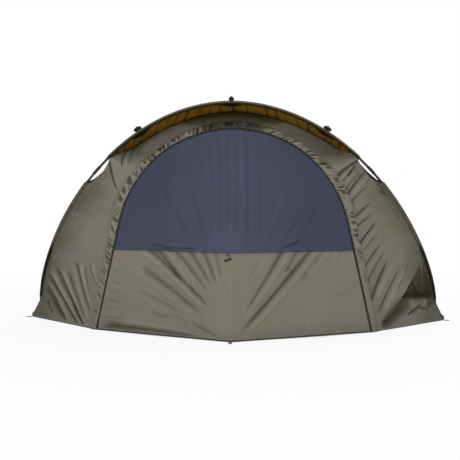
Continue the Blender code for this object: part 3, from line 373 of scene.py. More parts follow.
class Noise:
    """Smooth gradient noise over a plane, between about -1 and 1, the same on every run."""

    SIZE = 64
    GAIN = 1.6

    def __init__(self, seed):
        self.turns = np.random.default_rng(seed).uniform(0, 2 * np.pi, (self.SIZE, self.SIZE))

    def corner(self, x, y, cell_x, cell_y):
        turn = self.turns[cell_x % self.SIZE, cell_y % self.SIZE]
        return np.cos(turn) * (x - cell_x) + np.sin(turn) * (y - cell_y)

    def __call__(self, x, y):
        low_x, low_y = np.floor(x).astype(int), np.floor(y).astype(int)
        ease_x, ease_y = smoothstep(x - low_x), smoothstep(y - low_y)
        rows = []
        for cell_y in (low_y, low_y + 1):
            left, right = self.corner(x, y, low_x, cell_y), self.corner(x, y, low_x + 1, cell_y)
            rows.append(left * (1 - ease_x) + right * ease_x)
        return self.GAIN * (rows[0] * (1 - ease_y) + rows[1] * ease_y)


def drape(x, z, seed, size, height):
    """The slight unevenness of hanging cloth: broad swells and smaller dints."""
    swells = Noise(seed)(x / size, z / size)
    dints = Noise(seed + 1)(x / size * DINTS_PER_SWELL, z / size * DINTS_PER_SWELL)
    return height * (swells + DINT_HEIGHT_SHARE * dints)


def folds(x, z, rows, bow_share=FOLD_BOW["door"], breadth_share=1.0):
    """Tension folds from rows in mm: x and z of the narrow start and broad end, height and half breadth."""
    total = np.zeros_like(x)
    for x0, z0, x1, z1, height, breadth in rows:
        line = np.array((x1 - x0, z1 - z0)) * MM
        length = math.hypot(*line)
        dx, dz = x - x0 * MM, z - z0 * MM
        along = (dx * line[0] + dz * line[1]) / length**2
        aside = (dx * line[1] - dz * line[0]) / length
        bow = bow_share * length * np.sin(np.pi * np.clip(along, 0, 1))
        broadening = FOLD_START_SHARE + (1 - FOLD_START_SHARE) * np.clip(along, 0, 1)
        half = breadth * MM * FOLD_BREADTH * breadth_share * broadening
        ends = smoothstep(along * 4 + 0.25) * smoothstep((1 - along) * 5 + 0.2)
        power = RIDGE_POWER if height > 0 else VALLEY_POWER
        total += height * FOLD_HEIGHT * MM * ends * np.exp(-np.abs((aside - bow) / half) ** power)
    return total


def tuck(x, z, start, end, depth, above, below):
    """A tucked line, given in mm: the cloth leans in slowly above it and comes back out at once below it."""
    start, line = np.array(start) * MM, (np.array(end) - np.array(start)) * MM
    length = math.hypot(*line)
    along = ((x - start[0]) * line[0] + (z - start[1]) * line[1]) / length**2
    rise = ((z - start[1]) * line[0] - (x - start[0]) * line[1]) / length * math.copysign(1, line[0])
    along = along - TUCK_SLANT * np.maximum(rise, 0) / length
    ends = smoothstep(along / 0.12 + 0.3) * smoothstep((1 - along) / 0.1 + 0.6)
    lean = np.where(rise > 0, np.exp(-np.maximum(rise, 0) / (above * MM)), bell(rise, below * MM))
    return -depth * MM * ends * lean


# Mesh making

STRIP_COLUMNS = 5
STRIP_THICKNESS = 0.9 * MM
SHARP_DEGREES = 38


def normals_of(points, towards):
    """The way square to a grid of points, on the side that the towards vector is on."""
    out = unit(np.cross(np.gradient(points, axis=0), np.gradient(points, axis=1)))
    if (out * towards).sum(-1).mean() < 0:
        out = -out
    return out


def place_object(name, data):
    obj = bpy.data.objects.new(name, data)
    bpy.context.scene.collection.objects.link(obj)
    return obj


def grid_mesh(name, points, relief=None, across=None, around=False):
    """A mesh of a grid of points, with its relief in mm as the depth of its painted shade and highlight, and
    a UV map in metres or with across as its u.
    """
    rows, columns = points.shape[:2]
    index = np.arange(rows * columns).reshape(rows, columns)
    closed = points
    if around:
        index = np.hstack([index, index[:, :1]])
        closed = np.concatenate([points, points[:, :1]], 1)
    faces = np.stack([index[:-1, :-1], index[:-1, 1:], index[1:, 1:], index[1:, :-1]], -1).reshape(-1, 4)
    mesh = bpy.data.meshes.new(name)
    mesh.from_pydata(points.reshape(-1, 3).tolist(), [], faces.tolist())
    u = np.hstack([np.zeros((rows, 1)), np.cumsum(lengths(np.diff(closed, axis=1)), 1)])
    v = np.vstack([np.zeros((1, u.shape[1])), np.cumsum(lengths(np.diff(closed, axis=0)), 0)])
    if across is not None:
        u = np.broadcast_to(across, u.shape)
    corner = np.stack([u, v], -1)
    corners = np.stack([corner[:-1, :-1], corner[:-1, 1:], corner[1:, 1:], corner[1:, :-1]], 2)
    mesh.uv_layers.new(name="cloth").data.foreach_set("uv", corners.reshape(-1).astype(np.float32))
    # The relief attribute holds the depth in mm that the materials paint as shade and highlight
    shade = mesh.attributes.new("relief", "FLOAT", "POINT")
    heights = np.zeros((rows, columns)) if relief is None else relief
    shade.data.foreach_set("value", (heights / MM).reshape(-1).astype(np.float32))
    mesh.shade_smooth()
    return place_object(name, mesh)


def spokes(path, sides, up):
    """For each point of a path, unit vectors out from it to the sides of a tube round it."""
    along = unit(np.gradient(path, axis=0))
    side = unit(np.cross(along, np.broadcast_to(np.array(up, float), along.shape)))
    over = np.cross(side, along)
    turn = np.linspace(0, 2 * np.pi, sides, endpoint=False)
    return side[:, None] * np.cos(turn)[None, :, None] + over[:, None] * np.sin(turn)[None, :, None]


def close_ends(mesh, sides):
    """Closes a tube's two ends with flat faces."""
    shape = bmesh.new()
    shape.from_mesh(mesh)
    corners = list(shape.verts)
    for ring in (corners[:sides], corners[:-sides - 1:-1]):
        shape.faces.new(ring).smooth = False
    bmesh.ops.recalc_face_normals(shape, faces=shape.faces)
    shape.to_mesh(mesh)
    shape.free()


def thicken(obj, thickness):
    modifier = obj.modifiers.new("thickness", "SOLIDIFY")
    modifier.thickness = thickness
    modifier.offset = 0.0


def finish_with(obj, material):
    obj.data.materials.clear()
    obj.data.materials.append(material)


def strip(name, path, across, out, half_width, lift, material, bow=0.0):
    """A sewn band along a path: across and out are its directions at each point, and bow domes it."""
    way = np.linspace(-1, 1, STRIP_COLUMNS)
    points = path[:, None] + across[:, None] * (way * half_width)[None, :, None]
    points = points + out[:, None] * (lift + bow * (1 - way**2))[None, :, None]
    obj = grid_mesh(name, points, across=way)
    thicken(obj, STRIP_THICKNESS)
    finish_with(obj, material)
    return obj


def frame_of(x_way, y_way, z_way, origin):
    matrix = Matrix((x_way, y_way, z_way)).transposed().to_4x4()
    matrix.translation = origin
    return matrix


def block(shape, size, centre, bevel):
    """Adds a box with rounded edges to a bmesh."""
    made = bmesh.ops.create_cube(shape, size=1.0)["verts"]
    bmesh.ops.scale(shape, vec=size, verts=made)
    bmesh.ops.translate(shape, vec=centre, verts=made)
    edges = {edge for vert in made for edge in vert.link_edges}
    bmesh.ops.bevel(shape, geom=list(edges), offset=bevel, segments=3, profile=0.5, affect="EDGES")


def turned(shape, profile, matrix, sides=32):
    """Adds a solid of revolution to a bmesh: its profile is (radius, height) pairs from end to end."""
    rings = []
    for radius, height in profile:
        turns = [2 * math.pi * side / sides for side in range(sides)]
        ring = [Vector((radius * math.cos(turn), radius * math.sin(turn), height)) for turn in turns]
        rings.append([shape.verts.new(matrix @ at) for at in ring])
    for low, high in zip(rings, rings[1:]):
        for i in range(sides):
            j = (i + 1) % sides
            shape.faces.new((low[i], low[j], high[j], high[i]))
    shape.faces.new(rings[0][::-1])
    shape.faces.new(rings[-1])


# Bodies: a piece rides on one, or keeps its place between two


def bend_between(obj, rearward, forward):
    """Cloth between two ribs keeps its place, with its transform baked into its mesh; the rearward and
    forward bodies are not used.
    """
    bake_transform(obj)


def on_front(obj, body="front_rib"):
    """A piece of the front panel or door rides on its body, with its own copy of its mesh."""
    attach(obj, body)
    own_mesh(obj)


def cloth(name, smooth, out, relief, material, bodies, node, shade=None,
          thickness=CLOTH_LOOK):
    """A sheet in a node's place: a smooth grid raised by its relief, kept in place between two bodies or
    riding on one.
    """
    # The relief, or the given shade, goes to the mesh as the depth of its painted shade and highlight
    obj = grid_mesh(name, smooth + out * relief[..., None], relief if shade is None else shade)
    thicken(obj, thickness)
    finish_with(obj, material)
    if len(bodies) == 2:
        bend_between(obj, *bodies)
    else:
        on_front(obj, *bodies)
    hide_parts(node)


def fitting(name, shape, material, body, node, flattens=True):
    """A smooth-shaded solid in a node's place, made of a bmesh, with its UV map in metres by position."""
    uv = shape.loops.layers.uv.new("cloth")
    for face in shape.faces:
        face.smooth = True
        for loop in face.loops:
            loop[uv].uv = (loop.vert.co.x, loop.vert.co.z)
    mesh = bpy.data.meshes.new(name)
    shape.to_mesh(mesh)
    shape.free()
    mesh.set_sharp_from_angle(angle=math.radians(SHARP_DEGREES))
    obj = place_object(name, mesh)
    finish_with(obj, material)
    if flattens:
        on_front(obj, body)
    else:
        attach(obj, body)
    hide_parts(node)
    return obj


# Materials

WHITE = (1.0, 1.0, 1.0, 1.0)
STITCH_PITCH = 4.2 * MM
SHEEN_ROUGHNESS = 0.4
# Shares of the hollow colour for the deepest painted shade, near black
PAINTED_DEEP_SHADE_SHARES = (0.66, 0.66, 0.2)


def srgb(colour, share=1.0):
    """A linear colour from the 0 to 255 values that a picture shows, or from a share of them."""
    def linear(value):
        part = float(value) / 255
        return part / 12.92 if part <= 0.04045 else ((part + 0.055) / 1.055) ** 2.4
    return (*[linear(value) for value in np.multiply(colour, share)], 1.0)


class Wiring:
    """A node tree, with a short way to add and wire its nodes."""

    def __init__(self, tree):
        self.tree = tree

    def add(self, kind, inputs=(), **settings):
        node = self.tree.nodes.new("ShaderNode" + kind)
        for key, value in settings.items():
            setattr(node, key, value)
        for key, value in dict(inputs).items():
            self.put(node, key, value)
        return node

    def put(self, node, key, value):
        if isinstance(value, bpy.types.NodeSocket):
            self.tree.links.new(value, node.inputs[key])
        else:
            node.inputs[key].default_value = value

    def math(self, operation, a, b=0.0):
        return self.add("Math", {0: a, 1: b}, operation=operation).outputs[0]

    def background_rays(self):
        """1 for the rays that see the white background: those of the camera, of gloss and of glass."""
        rays = self.add("LightPath").outputs
        past = self.math("MAXIMUM", rays["Is Glossy Ray"], rays["Is Transmission Ray"])
        return self.math("MAXIMUM", rays["Is Camera Ray"], past)


class Finish(Wiring):
    """One material of a Principled shader."""

    def __init__(self, name, roughness=0.5, metallic=0.0, sheen=0.0, specular=0.5):
        self.material = bpy.data.materials.new(name)
        self.material.use_nodes = True
        super().__init__(self.material.node_tree)
        self.shader = self.tree.nodes["Principled BSDF"]
        sockets = {
            "Roughness": roughness,
            "Metallic": metallic,
            "Sheen Weight": sheen,
            "Sheen Roughness": SHEEN_ROUGHNESS,
            "Specular IOR Level": specular,
        }
        for key, value in sockets.items():
            self.put(self.shader, key, value)

    def ranged(self, value, low, high, to_low=0.0, to_high=1.0):
        inputs = {"Value": value, "From Min": low, "From Max": high, "To Min": to_low, "To Max": to_high}
        return self.add("MapRange", inputs).outputs[0]

    def noise(self, where, scale, detail=3.0, rough=0.55):
        inputs = {"Vector": where, "Scale": scale, "Detail": detail, "Roughness": rough}
        return self.add("TexNoise", inputs).outputs["Fac"]

    def blend(self, share, a, b):
        return self.add("Mix", {0: share, 6: a, 7: b}, data_type="RGBA").outputs[2]

    def tint(self, base, value, start, end, share, colour):
        """Blends the colour into the base: none where the value is at its start, this share at its end."""
        return self.blend(self.ranged(value, start, end, 0.0, share), base, colour)

    def bump(self, height, distance, strength=1.0, normal=None):
        inputs = {"Height": height, "Distance": distance, "Strength": strength}
        if normal is not None:
            inputs["Normal"] = normal
        return self.add("Bump", inputs).outputs["Normal"]

    def place(self):
        return self.add("TexCoord").outputs["Object"]

    def split(self, vector):
        return self.add("SeparateXYZ", {0: vector}).outputs

    def uv(self):
        return self.split(self.add("UVMap", uv_map="cloth").outputs["UV"])

    def relief(self):
        """The height in mm that the mesh carries for painted shade and highlight, below 0 in the folds'
        hollows and shaded places.
        """
        return self.add("Attribute", attribute_name="relief").outputs["Fac"]

    def weave(self, pitch):
        """Height of a plain weave: crossing threads at this pitch, in metres."""
        uv, turn = self.uv(), 2 * math.pi / pitch
        across, along = (self.math("SINE", self.math("MULTIPLY", uv[axis], turn)) for axis in (0, 1))
        return self.math("MULTIPLY", across, along)

    def close(self, colour, normal, roughness=None):
        self.put(self.shader, "Base Color", colour)
        self.put(self.shader, "Normal", normal)
        if roughness is not None:
            self.put(self.shader, "Roughness", roughness)
        return self.material


def cloth_finish(name, colour, shade_and_dirt_tone, painted_highlight, roughness, pitch=1.1 * MM, sheen=0.12, dirt=0.22, specular=0.4,
                 depth=0.78):
    """Coated cloth: plain weave, broad mottling, painted shade in the folds' hollows and other shaded places,
    and painted highlight on the folds' crests.
    """
    finish = Finish(name, roughness, sheen=sheen, specular=specular)
    place, relief = finish.place(), finish.relief()
    broad = finish.noise(place, 2.3, 4.0)
    fine = finish.noise(place, 46.0, 5.0, 0.65)
    base = finish.blend(finish.ranged(broad, 0.3, 0.7), srgb(np.add(colour, -4)), srgb(np.add(colour, 3)))
    base = finish.tint(base, fine, 0.35, 0.75, 0.13, srgb(shade_and_dirt_tone))
    # Painted shade from the relief attribute: darker in hollows and shaded places, near black where deepest;
    # then painted highlight on crests
    base = finish.tint(base, relief, -0.8, -11.0, depth, srgb(shade_and_dirt_tone))
    base = finish.tint(base, relief, -14.0, -48.0, 0.9, srgb(shade_and_dirt_tone, PAINTED_DEEP_SHADE_SHARES))
    base = finish.tint(base, relief, 2.0, 14.0, 0.4, srgb(painted_highlight))
    near_ground = finish.ranged(finish.split(place)[2], 0.0, 0.1, dirt, 0.0)
    soil = finish.math("MULTIPLY", near_ground, finish.ranged(fine, 0.4, 0.62, 0.35, 1.0))
    base = finish.blend(soil, base, srgb(shade_and_dirt_tone, 0.62))
    bump = finish.bump(fine, 1.2 * MM, 0.35)
    bump = finish.bump(finish.weave(pitch), 0.12 * MM, 0.6, bump)
    return finish.close(base, bump, finish.ranged(broad, 0.3, 0.7, roughness - 0.05, roughness + 0.06))


def net_finish(name, colour, thread):
    """Fine insect net: dark holes between round threads, with a painted highlight down the middle."""
    finish = Finish(name, 0.72, sheen=0.35, specular=0.25)
    place, relief = finish.place(), finish.relief()
    net = finish.weave(2.2 * MM)
    mottled = finish.ranged(finish.noise(place, 3.1, 3.0), 0.3, 0.7, 0.0, 0.2)
    # Painted highlight: the threads paler towards x = 0, down the door's ridge
    aside = finish.math("ABSOLUTE", finish.split(place)[0])
    middle = finish.math("ADD", finish.ranged(aside, 0.0, 0.5, 0.55, 0.0), mottled)
    base = finish.blend(middle, srgb(colour), srgb(thread))
    base = finish.tint(base, net, 0.15, 0.7, 0.55, srgb(colour, 0.72))
    # Painted shade in the folds' hollows, then painted highlight on their crests
    base = finish.tint(base, relief, -0.5, -9.0, 0.6, srgb(colour, 0.5))
    base = finish.tint(base, relief, 1.0, 9.0, 0.5, srgb(thread, 1.25))
    return finish.close(base, finish.bump(net, 0.3 * MM, 0.5))


def band_finish(name, colour, thread, stitch_at=0.72, rib=0.0):
    """A sewn band with a row of stitches near each edge; rib is the pitch of webbing's cross ribs."""
    finish = Finish(name, 0.75, sheen=0.15, specular=0.3)
    across, along = finish.uv()[0], finish.uv()[1]
    fine = finish.noise(finish.place(), 90.0, 4.0)
    off = finish.math("ABSOLUTE", finish.math("SUBTRACT", finish.math("ABSOLUTE", across), stitch_at))
    row = finish.ranged(off, 0.0, 0.09, 1.0, 0.0)
    dash = finish.math("LESS_THAN", finish.math("FRACT", finish.math("DIVIDE", along, STITCH_PITCH)), 0.62)
    base = finish.blend(finish.ranged(fine, 0.3, 0.7), srgb(colour, 0.88), srgb(colour))
    base = finish.blend(finish.math("MULTIPLY", row, dash), base, srgb(thread))
    height = finish.math("SUBTRACT", finish.math("MULTIPLY", fine, 0.5), finish.math("MULTIPLY", row, 0.9))
    if rib:
        cross = finish.math("SINE", finish.math("MULTIPLY", along, 2 * math.pi / rib))
        height = finish.math("ADD", height, finish.math("MULTIPLY", cross, 0.4))
    return finish.close(base, finish.bump(height, 0.7 * MM, 0.7))


def painted_finish(name, colour, worn, roughness, metallic, grain=160.0, specular=0.5):
    """Paint, plastic or bare metal with fine grain and rubbed patches."""
    finish = Finish(name, roughness, metallic, specular=specular)
    place = finish.place()
    fine = finish.noise(place, grain, 4.0, 0.6)
    rubbed = finish.noise(place, 17.0, 5.0, 0.7)
    base = finish.tint(srgb(colour), rubbed, 0.56, 0.74, 0.55, srgb(worn))
    shine = finish.ranged(fine, 0.3, 0.7, roughness - 0.07, roughness + 0.1)
    return finish.close(base, finish.bump(fine, 0.15 * MM, 0.35), shine)


SHELL = cloth_finish("coated_shell", (118, 114, 101), (50, 46, 14), (158, 154, 140), 0.5, specular=0.24)
SHELL_INSIDE = cloth_finish("coated_roof", (113, 110, 96), (50, 46, 26), (142, 139, 124), 0.56, specular=0.28)
GUTTER = cloth_finish(
    "gathered_flap", (118, 113, 99), (41, 35, 9), (160, 154, 137), 0.5, specular=0.24, depth=0.72
)
LINING_FINISH = cloth_finish(
    "ochre_lining", (122, 87, 5), (30, 21, 3), (138, 100, 12), 0.66, sheen=0.0, dirt=0.0, specular=0.12,
    depth=0.9
)
PATCH = cloth_finish(
    "stud_patch", (22, 18, 10), (12, 10, 6), (40, 34, 24), 0.7, sheen=0.0, dirt=0.0, specular=0.05
)
# Sleeve cloth whose near-black hollow colour is reached by the sleeves' painted shade
LEG_SLEEVE = cloth_finish(
    "leg_sleeve", (92, 85, 64), (12, 12, 9), (110, 104, 84), 0.6, sheen=0.0, specular=0.12, depth=0.97
)
NET = net_finish("navy_net", (57, 60, 81), (78, 81, 101))
FLOOR_SHEET = cloth_finish(
    "floor_sheet", (52, 54, 48), (30, 31, 27), (70, 72, 66), 0.5, pitch=1.8 * MM, dirt=0.1
)
SEAM = band_finish("shell_seam", (112, 108, 96), (80, 76, 62))
# The hem binding's dark colour is painted shadow under the door's hem
PAINTED_SHADOW_BINDING = band_finish("hem_binding_painted_shadow", (46, 43, 30), (66, 62, 48), rib=1.6 * MM)
WEBBING = band_finish("black_webbing_weave", (26, 27, 28), (48, 48, 50), rib=2.4 * MM)
TAPE = band_finish("shell_tape", (104, 101, 88), (70, 67, 52), rib=2.4 * MM)
ZIP_TAPE = band_finish("zip_tape", (20, 20, 22), (34, 34, 36), stitch_at=0.86, rib=1.2 * MM)
ZIP_TEETH = painted_finish("zip_teeth", (24, 24, 26), (60, 60, 62), 0.38, 0.0)
RIB_PAINT = painted_finish("rib_paint", (34, 34, 36), (92, 92, 96), 0.34, 0.55)
FERRULE_PAINT = painted_finish("ferrule_paint", (52, 52, 55), (120, 120, 124), 0.3, 0.8)
STEEL = painted_finish("pin_steel_brushed", (176, 176, 180), (120, 118, 114), 0.3, 1.0)
PLASTIC = painted_finish("moulded_black", (15, 17, 18), (42, 44, 46), 0.5, 0.0, grain=420.0, specular=0.18)
NODE_FINISHES = {
    "rib_metal": RIB_PAINT,
    "ferrule_metal": FERRULE_PAINT,
    "pin_steel": STEEL,
    "black_plastic": PLASTIC,
}


# The cloth between the ribs

WHOLE_RUN = np.linspace(RIB_FIRST, 1 - RIB_FIRST, 300)
RUN_METRES = 4.2
CREASE_PITCH = 66 * MM
LINING_SAG = 5 * MM
LINING_LOOK = 1.0 * MM
LINING_SHADE = 13 * MM
LINING_MARGINS = (3 * MM, 9 * MM)
LINED_FROM = (JOINT_SEGMENT + BARE_SEGMENTS - 0.6) / RIB_SEGMENTS
UNDER_ROOF = CLOTH / 2 + CLOTH_GAP
SEAM_HALF_WIDTH = 13 * MM
SEAM_LIFT = 1.4 * MM
SEAM_BOW = 1.2 * MM
PATCH_HALF_WIDTH = 64 * MM
PATCH_DEPTH = 72 * MM
PATCH_START = 4 * MM
PATCH_LOOK = 1.4 * MM
PATCH_TAPER = 0.62
PATCH_DROP = UNDER_ROOF + LINING + 10 * MM


def edge_hold(rows, columns, row_margin=0.06, column_margin=0.12):
    """1 inside a grid, and 0 along its edges, where the cloth is sewn or pegged."""
    v = np.linspace(0, 1, rows)[:, None]
    u = np.linspace(0, 1, columns)[None, :]
    return smoothstep(np.minimum(v, 1 - v) / row_margin) * smoothstep(np.minimum(u, 1 - u) / column_margin)


def roof_wrinkles(share, along, seed, height):
    """Taut pleats that run from rib to rib, gathered most near the hubs, and soft swells between them."""
    run = share[:, None] * RUN_METRES
    near_hub = ramp(np.minimum(share, 1 - share)[:, None], 0.3, 0.02)
    skew = Noise(seed + 3)(run * 0.8, along * 0.7) * 0.4
    across = 0.6 - np.abs(Noise(seed)((run + skew) * 7.0, along * 1.3)) * 2
    from_hub = 0.6 - np.abs(Noise(seed + 4)(along * 6.5 + skew, run * 1.2)) * 2
    swells = Noise(seed + 1)(run * 1.6, along * 1.8)
    return height * (across * 0.3 * (1 - near_hub) + from_hub * 0.9 * near_hub + 0.5 * swells)


def roof(name, panel, start, columns, seed, wrinkle, node):
    """A roof cloth, from this distance off its front rib to the seam over its back one."""
    width = panel.width(WHOLE_RUN)
    along = steps(start / width, 1 - SEAM_GAP / width, columns)
    smooth, out = panel.at(WHOLE_RUN, along)
    relief = roof_wrinkles(WHOLE_RUN, along, seed, wrinkle) * edge_hold(*along.shape)
    cloth(name, smooth, out, relief, SHELL_INSIDE, panel.bodies, node)


def roofs():
    roof("hood_roof_cloth", HOOD, hood_notch(WHOLE_RUN) - SLEEVE_RADIUS * 0.4, 30, 11, 2.2 * MM, "hood_roof")
    roof("main_roof_cloth", ROOF, SEAM_GAP, 84, 23, 5.0 * MM, "main_roof")


def lining():
    """The ochre lining under the peak, with slanting puckers where it is sewn to the hood."""
    share = np.linspace(LINED_FROM, 1 - LINED_FROM, 240)
    width = HOOD.width(share)
    start, end = LINING_MARGINS
    along = steps((start + hood_notch(share)) / width, 1 - end / width, 36)
    smooth, out = HOOD.at(share, along, UNDER_ROOF + LINING / 2)
    run = share[:, None] * FRONT.length
    side = np.clip((run - FRONT.length / 2) / 0.45, -1, 1)
    slant = run - side * along * np.where(side < 0, 0.12, 0.07)
    count = slant / CREASE_PITCH + 0.45 * Noise(41)(slant / 0.19, along * 0.3)
    near = bell(count - np.round(count), 0.10)
    strength = np.clip(0.85 + 0.7 * Noise(45)(np.round(count) * 0.77, along * 1.1), 0.25, 1)
    hold = edge_hold(*along.shape, 0.04, 0.12)
    relief = -LINING_SAG * (1 - near * strength) * hold * (1 + 0.5 * Noise(43)(slant / 0.1, along))
    cloth("hood_lining_cloth", smooth, out, relief, LINING_FINISH, HOOD.bodies, "hood_lining",
          shade=-LINING_SHADE * near * strength, thickness=LINING_LOOK)


def rear():
    """The back wall, from the third rib over the ground rib to its hem, and flat behind the vent."""
    a, b, _ = REAR.ruling(WHOLE_RUN)
    last = np.maximum(1.0, (a[:, 2] - HEM_HEIGHT) / (a[:, 2] - b[:, 2]))
    down = steps(SEAM_GAP / lengths(b - a), last, 96)
    smooth, out = REAR.at(WHOLE_RUN, down)
    past_vent = ramp(np.abs(smooth[..., 0]), 0.30, 0.38) + ramp(down, 0.33, 0.39) + ramp(down, 0.13, 0.09)
    relief = roof_wrinkles(WHOLE_RUN, down, 57, 5.5 * MM) * edge_hold(*down.shape, 0.06, 0.1)
    relief = relief * np.clip(past_vent, 0, 1)
    cloth("rear_shell_cloth", smooth, out, relief, SHELL_INSIDE, REAR.bodies, "rear_shell")


def rib_seams():
    """Sewn bands over the second and third ribs, where two panels meet."""
    for name, arch in (("second_rib", SECOND), ("third_rib", THIRD)):
        out = rib_out(arch, WHOLE_RUN)
        across = unit(np.cross(arch.along(WHOLE_RUN), out))
        band = strip(f"{name}_seam", arch.at(WHOLE_RUN), across, out, SEAM_HALF_WIDTH, OVER_RIB + SEAM_LIFT,
                     SEAM, bow=SEAM_BOW)
        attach(band, name)


def stud_patches():
    """Dark reinforcing patches on the lining under the tension bars' studs."""
    for name, x in BAR_PLACES.items():
        middle = FRONT.share_at_x(np.array(x))
        half = PATCH_HALF_WIDTH / FRONT.length
        share = np.linspace(middle - half, middle + half, 40)
        width = HOOD.width(share)
        depth = PATCH_DEPTH * (1 - PATCH_TAPER * np.abs(np.linspace(-1, 1, 40)) ** 1.6)
        along = steps(PATCH_START / width, (PATCH_START + depth) / width, 16)
        smooth, _ = HOOD.at(share, along, PATCH_DROP)
        obj = grid_mesh(f"stud_patch_{name}", smooth)
        thicken(obj, PATCH_LOOK)
        finish_with(obj, PATCH)
        bend_between(obj, *HOOD.bodies)


# The front panel

WING_ROWS = 470
WING_COLUMNS = 136
STITCH_DEPTH = 1.3 * MM
STITCH_BREADTH = 3.2 * MM
PUCKER_HEIGHT = 0.9 * MM
PUCKER_LENGTH = 20 * MM
PUCKER_BREADTH = 14 * MM
# Stitched lines: their distance from the rib's edge or from the zip, and the seed of their puckers
EDGE_SEAMS = ((38 * MM, 83), (12 * MM, 84))
ZIP_SEAM = (66 * MM, 85)
GATHER_LENGTH = 28 * MM
GATHER_HEIGHT = 11 * MM
GUTTER_START = 10 * MM
GUTTER_WIDTH = 46 * MM
GUTTER_CROWN = 7 * MM
GUTTER_LIFT = CLOTH + 2.2 * MM
GUTTER_LOOK = 1.0 * MM
GUTTER_LOWEST = 1.4 * MM
GUTTER_WANDER = 3.2 * MM
GUTTER_PEAK_SHADE = 36 * MM
GUTTER_AT_JAMB = {"left": 3.5 * MM, "right": 6 * MM}
GUTTER_AT_ARCH = 2 * MM
SLEEVE_SIDES = 20
SLEEVE_LOOK_RADIUS = 9.3 * MM
SLEEVE_LOOK = 0.9 * MM
SLEEVE_RIPPLE = 0.45 * MM
SLEEVE_SHADE = 16 * MM
SLEEVE_STEP = 7 * MM
STRAP_TOP_SHARE = 0.075
STRAP_HALF_WIDTH = 4 * MM
STRAP_LIFT = 1.7 * MM
STRAPS = {"left": (TAPE, "shell_cloth"), "right": (WEBBING, "black_webbing")}

# Folds: x and z at the start and at the end, height and half breadth, all in mm
WING_FOLDS = {
    "left": (
        (-1015, 0, -1290, 330, -15, 9), (-1175, 160, -1270, 315, -7, 5), (-990, 0, -1245, 350, 11, 12),
        (-975, 0, -1205, 370, -17, 10), (-945, 0, -1155, 375, 11, 12), (-955, 15, -1115, 355, -8, 10),
        (-930, 35, -1070, 405, 8, 10), (-935, 100, -1045, 430, -13, 8), (-920, 145, -1005, 425, 11, 8),
        (-930, 185, -980, 410, -6, 7), (-880, 285, -950, 430, -8, 5), (-875, 295, -910, 435, 7, 5),
        (-1130, 20, -1305, 225, -16, 17), (-1250, 50, -1305, 135, -7, 7), (-1080, 15, -1275, 270, 8, 10),
        (-740, 900, -780, 1090, -9, 7), (-720, 890, -755, 1075, 8, 8), (-700, 1045, -690, 1150, -7, 8),
        (-655, 1080, -645, 1175, -6, 8), (-615, 1120, -590, 1205, -5, 7), (-670, 1055, -670, 1160, 6, 8),
    ),
    "right": (
        (780, 1090, 645, 985, -12, 8), (780, 1075, 660, 960, 6, 8), (780, 1090, 720, 990, -11, 6),
        (775, 1060, 690, 950, -6, 6), (830, 1020, 705, 855, -10, 7), (855, 995, 730, 840, 6, 8),
        (790, 1010, 705, 900, -6, 6), (850, 930, 735, 815, -5, 8), (865, 815, 750, 715, -8, 7),
        (880, 785, 770, 700, 5, 7), (890, 750, 765, 660, -6, 7), (910, 695, 790, 545, -11, 6),
        (935, 675, 825, 535, 6, 8), (920, 615, 830, 520, -5, 7), (950, 560, 830, 405, -9, 6),
        (975, 545, 860, 395, 5, 7), (975, 505, 850, 310, -7, 7), (995, 445, 880, 190, -13, 9),
        (1040, 435, 915, 195, 8, 11), (1085, 390, 935, 110, -9, 9), (1130, 390, 975, 105, 8, 12),
        (1150, 430, 1075, 255, -6, 6), (970, 885, 900, 950, -7, 5), (975, 895, 910, 950, -6, 5),
        (1015, 840, 930, 900, -7, 5), (960, 25, 1155, 175, -26, 33), (1290, 125, 1200, 290, 14, 6),
        (1270, 225, 1240, 420, 10, 6), (1310, 100, 1345, 150, -12, 14), (1145, 70, 1255, 125, -12, 6),
        (1240, 110, 1310, 90, -12, 5), (1115, 185, 1345, 155, 10, 7),
    ),
}
# Tucks: the start and the end, the depth, and how far it reaches above and below, all in mm
WING_TUCKS = {"left": (), "right": (((1116, 196), (1350, 165), 50, 105, 14),)}


def wing_relief(side, up, out, points):
    """The heights of a wing's folds, none at its zip, hem and outer seam, and the shade in its tucks."""
    x, z = points[..., 0], points[..., 2]
    hold = ramp(out, 0, 0.10)[None, :] * ramp(out, 1, 0.93)[None, :] * ramp(up, 0, 0.014)[:, None]
    swells = drape(x, z, seed=71, size=0.24, height=2.6 * MM) * ramp(up, 1, 0.88)[:, None]
    dints = drape(x, z, seed=77, size=0.07, height=0.7 * MM)
    relief = folds(x, z, WING_FOLDS[side], FOLD_BOW[side]) + swells + dints
    deep = np.zeros_like(x)
    for row in WING_TUCKS[side]:
        deep += tuck(x, z, *row)
    return (relief + deep) * hold, deep * (1 - 0.85 * np.clip(relief / (5 * MM), 0, 1))


def seam_groove(distance, at, seed, along):
    """A stitched line at this distance from an edge, with puckers beside it."""
    pucker = PUCKER_HEIGHT * Noise(seed)(along / PUCKER_LENGTH, distance * 0)
    return pucker * bell(distance - at, PUCKER_BREADTH) - STITCH_DEPTH * bell(distance - at, STITCH_BREADTH)


def wing_shadow(up, out, z, edge):
    """A wing's shade, as a depth: where it turns back to the rib, under the peak and by the rib's foot."""
    turning = 7 * MM * ramp(out, 0.4, 1)[None, :] * ramp(z, 1.15, 0.80)
    peak = 50 * MM * ramp(up, 0.83, 0.95)[:, None] * bell(edge, 58 * MM)
    foot = 16 * MM * ramp(z, 0.52, 0.40) * ramp(z, 0.10, 0.15) * bell(edge, 17 * MM)
    return turning + peak + foot


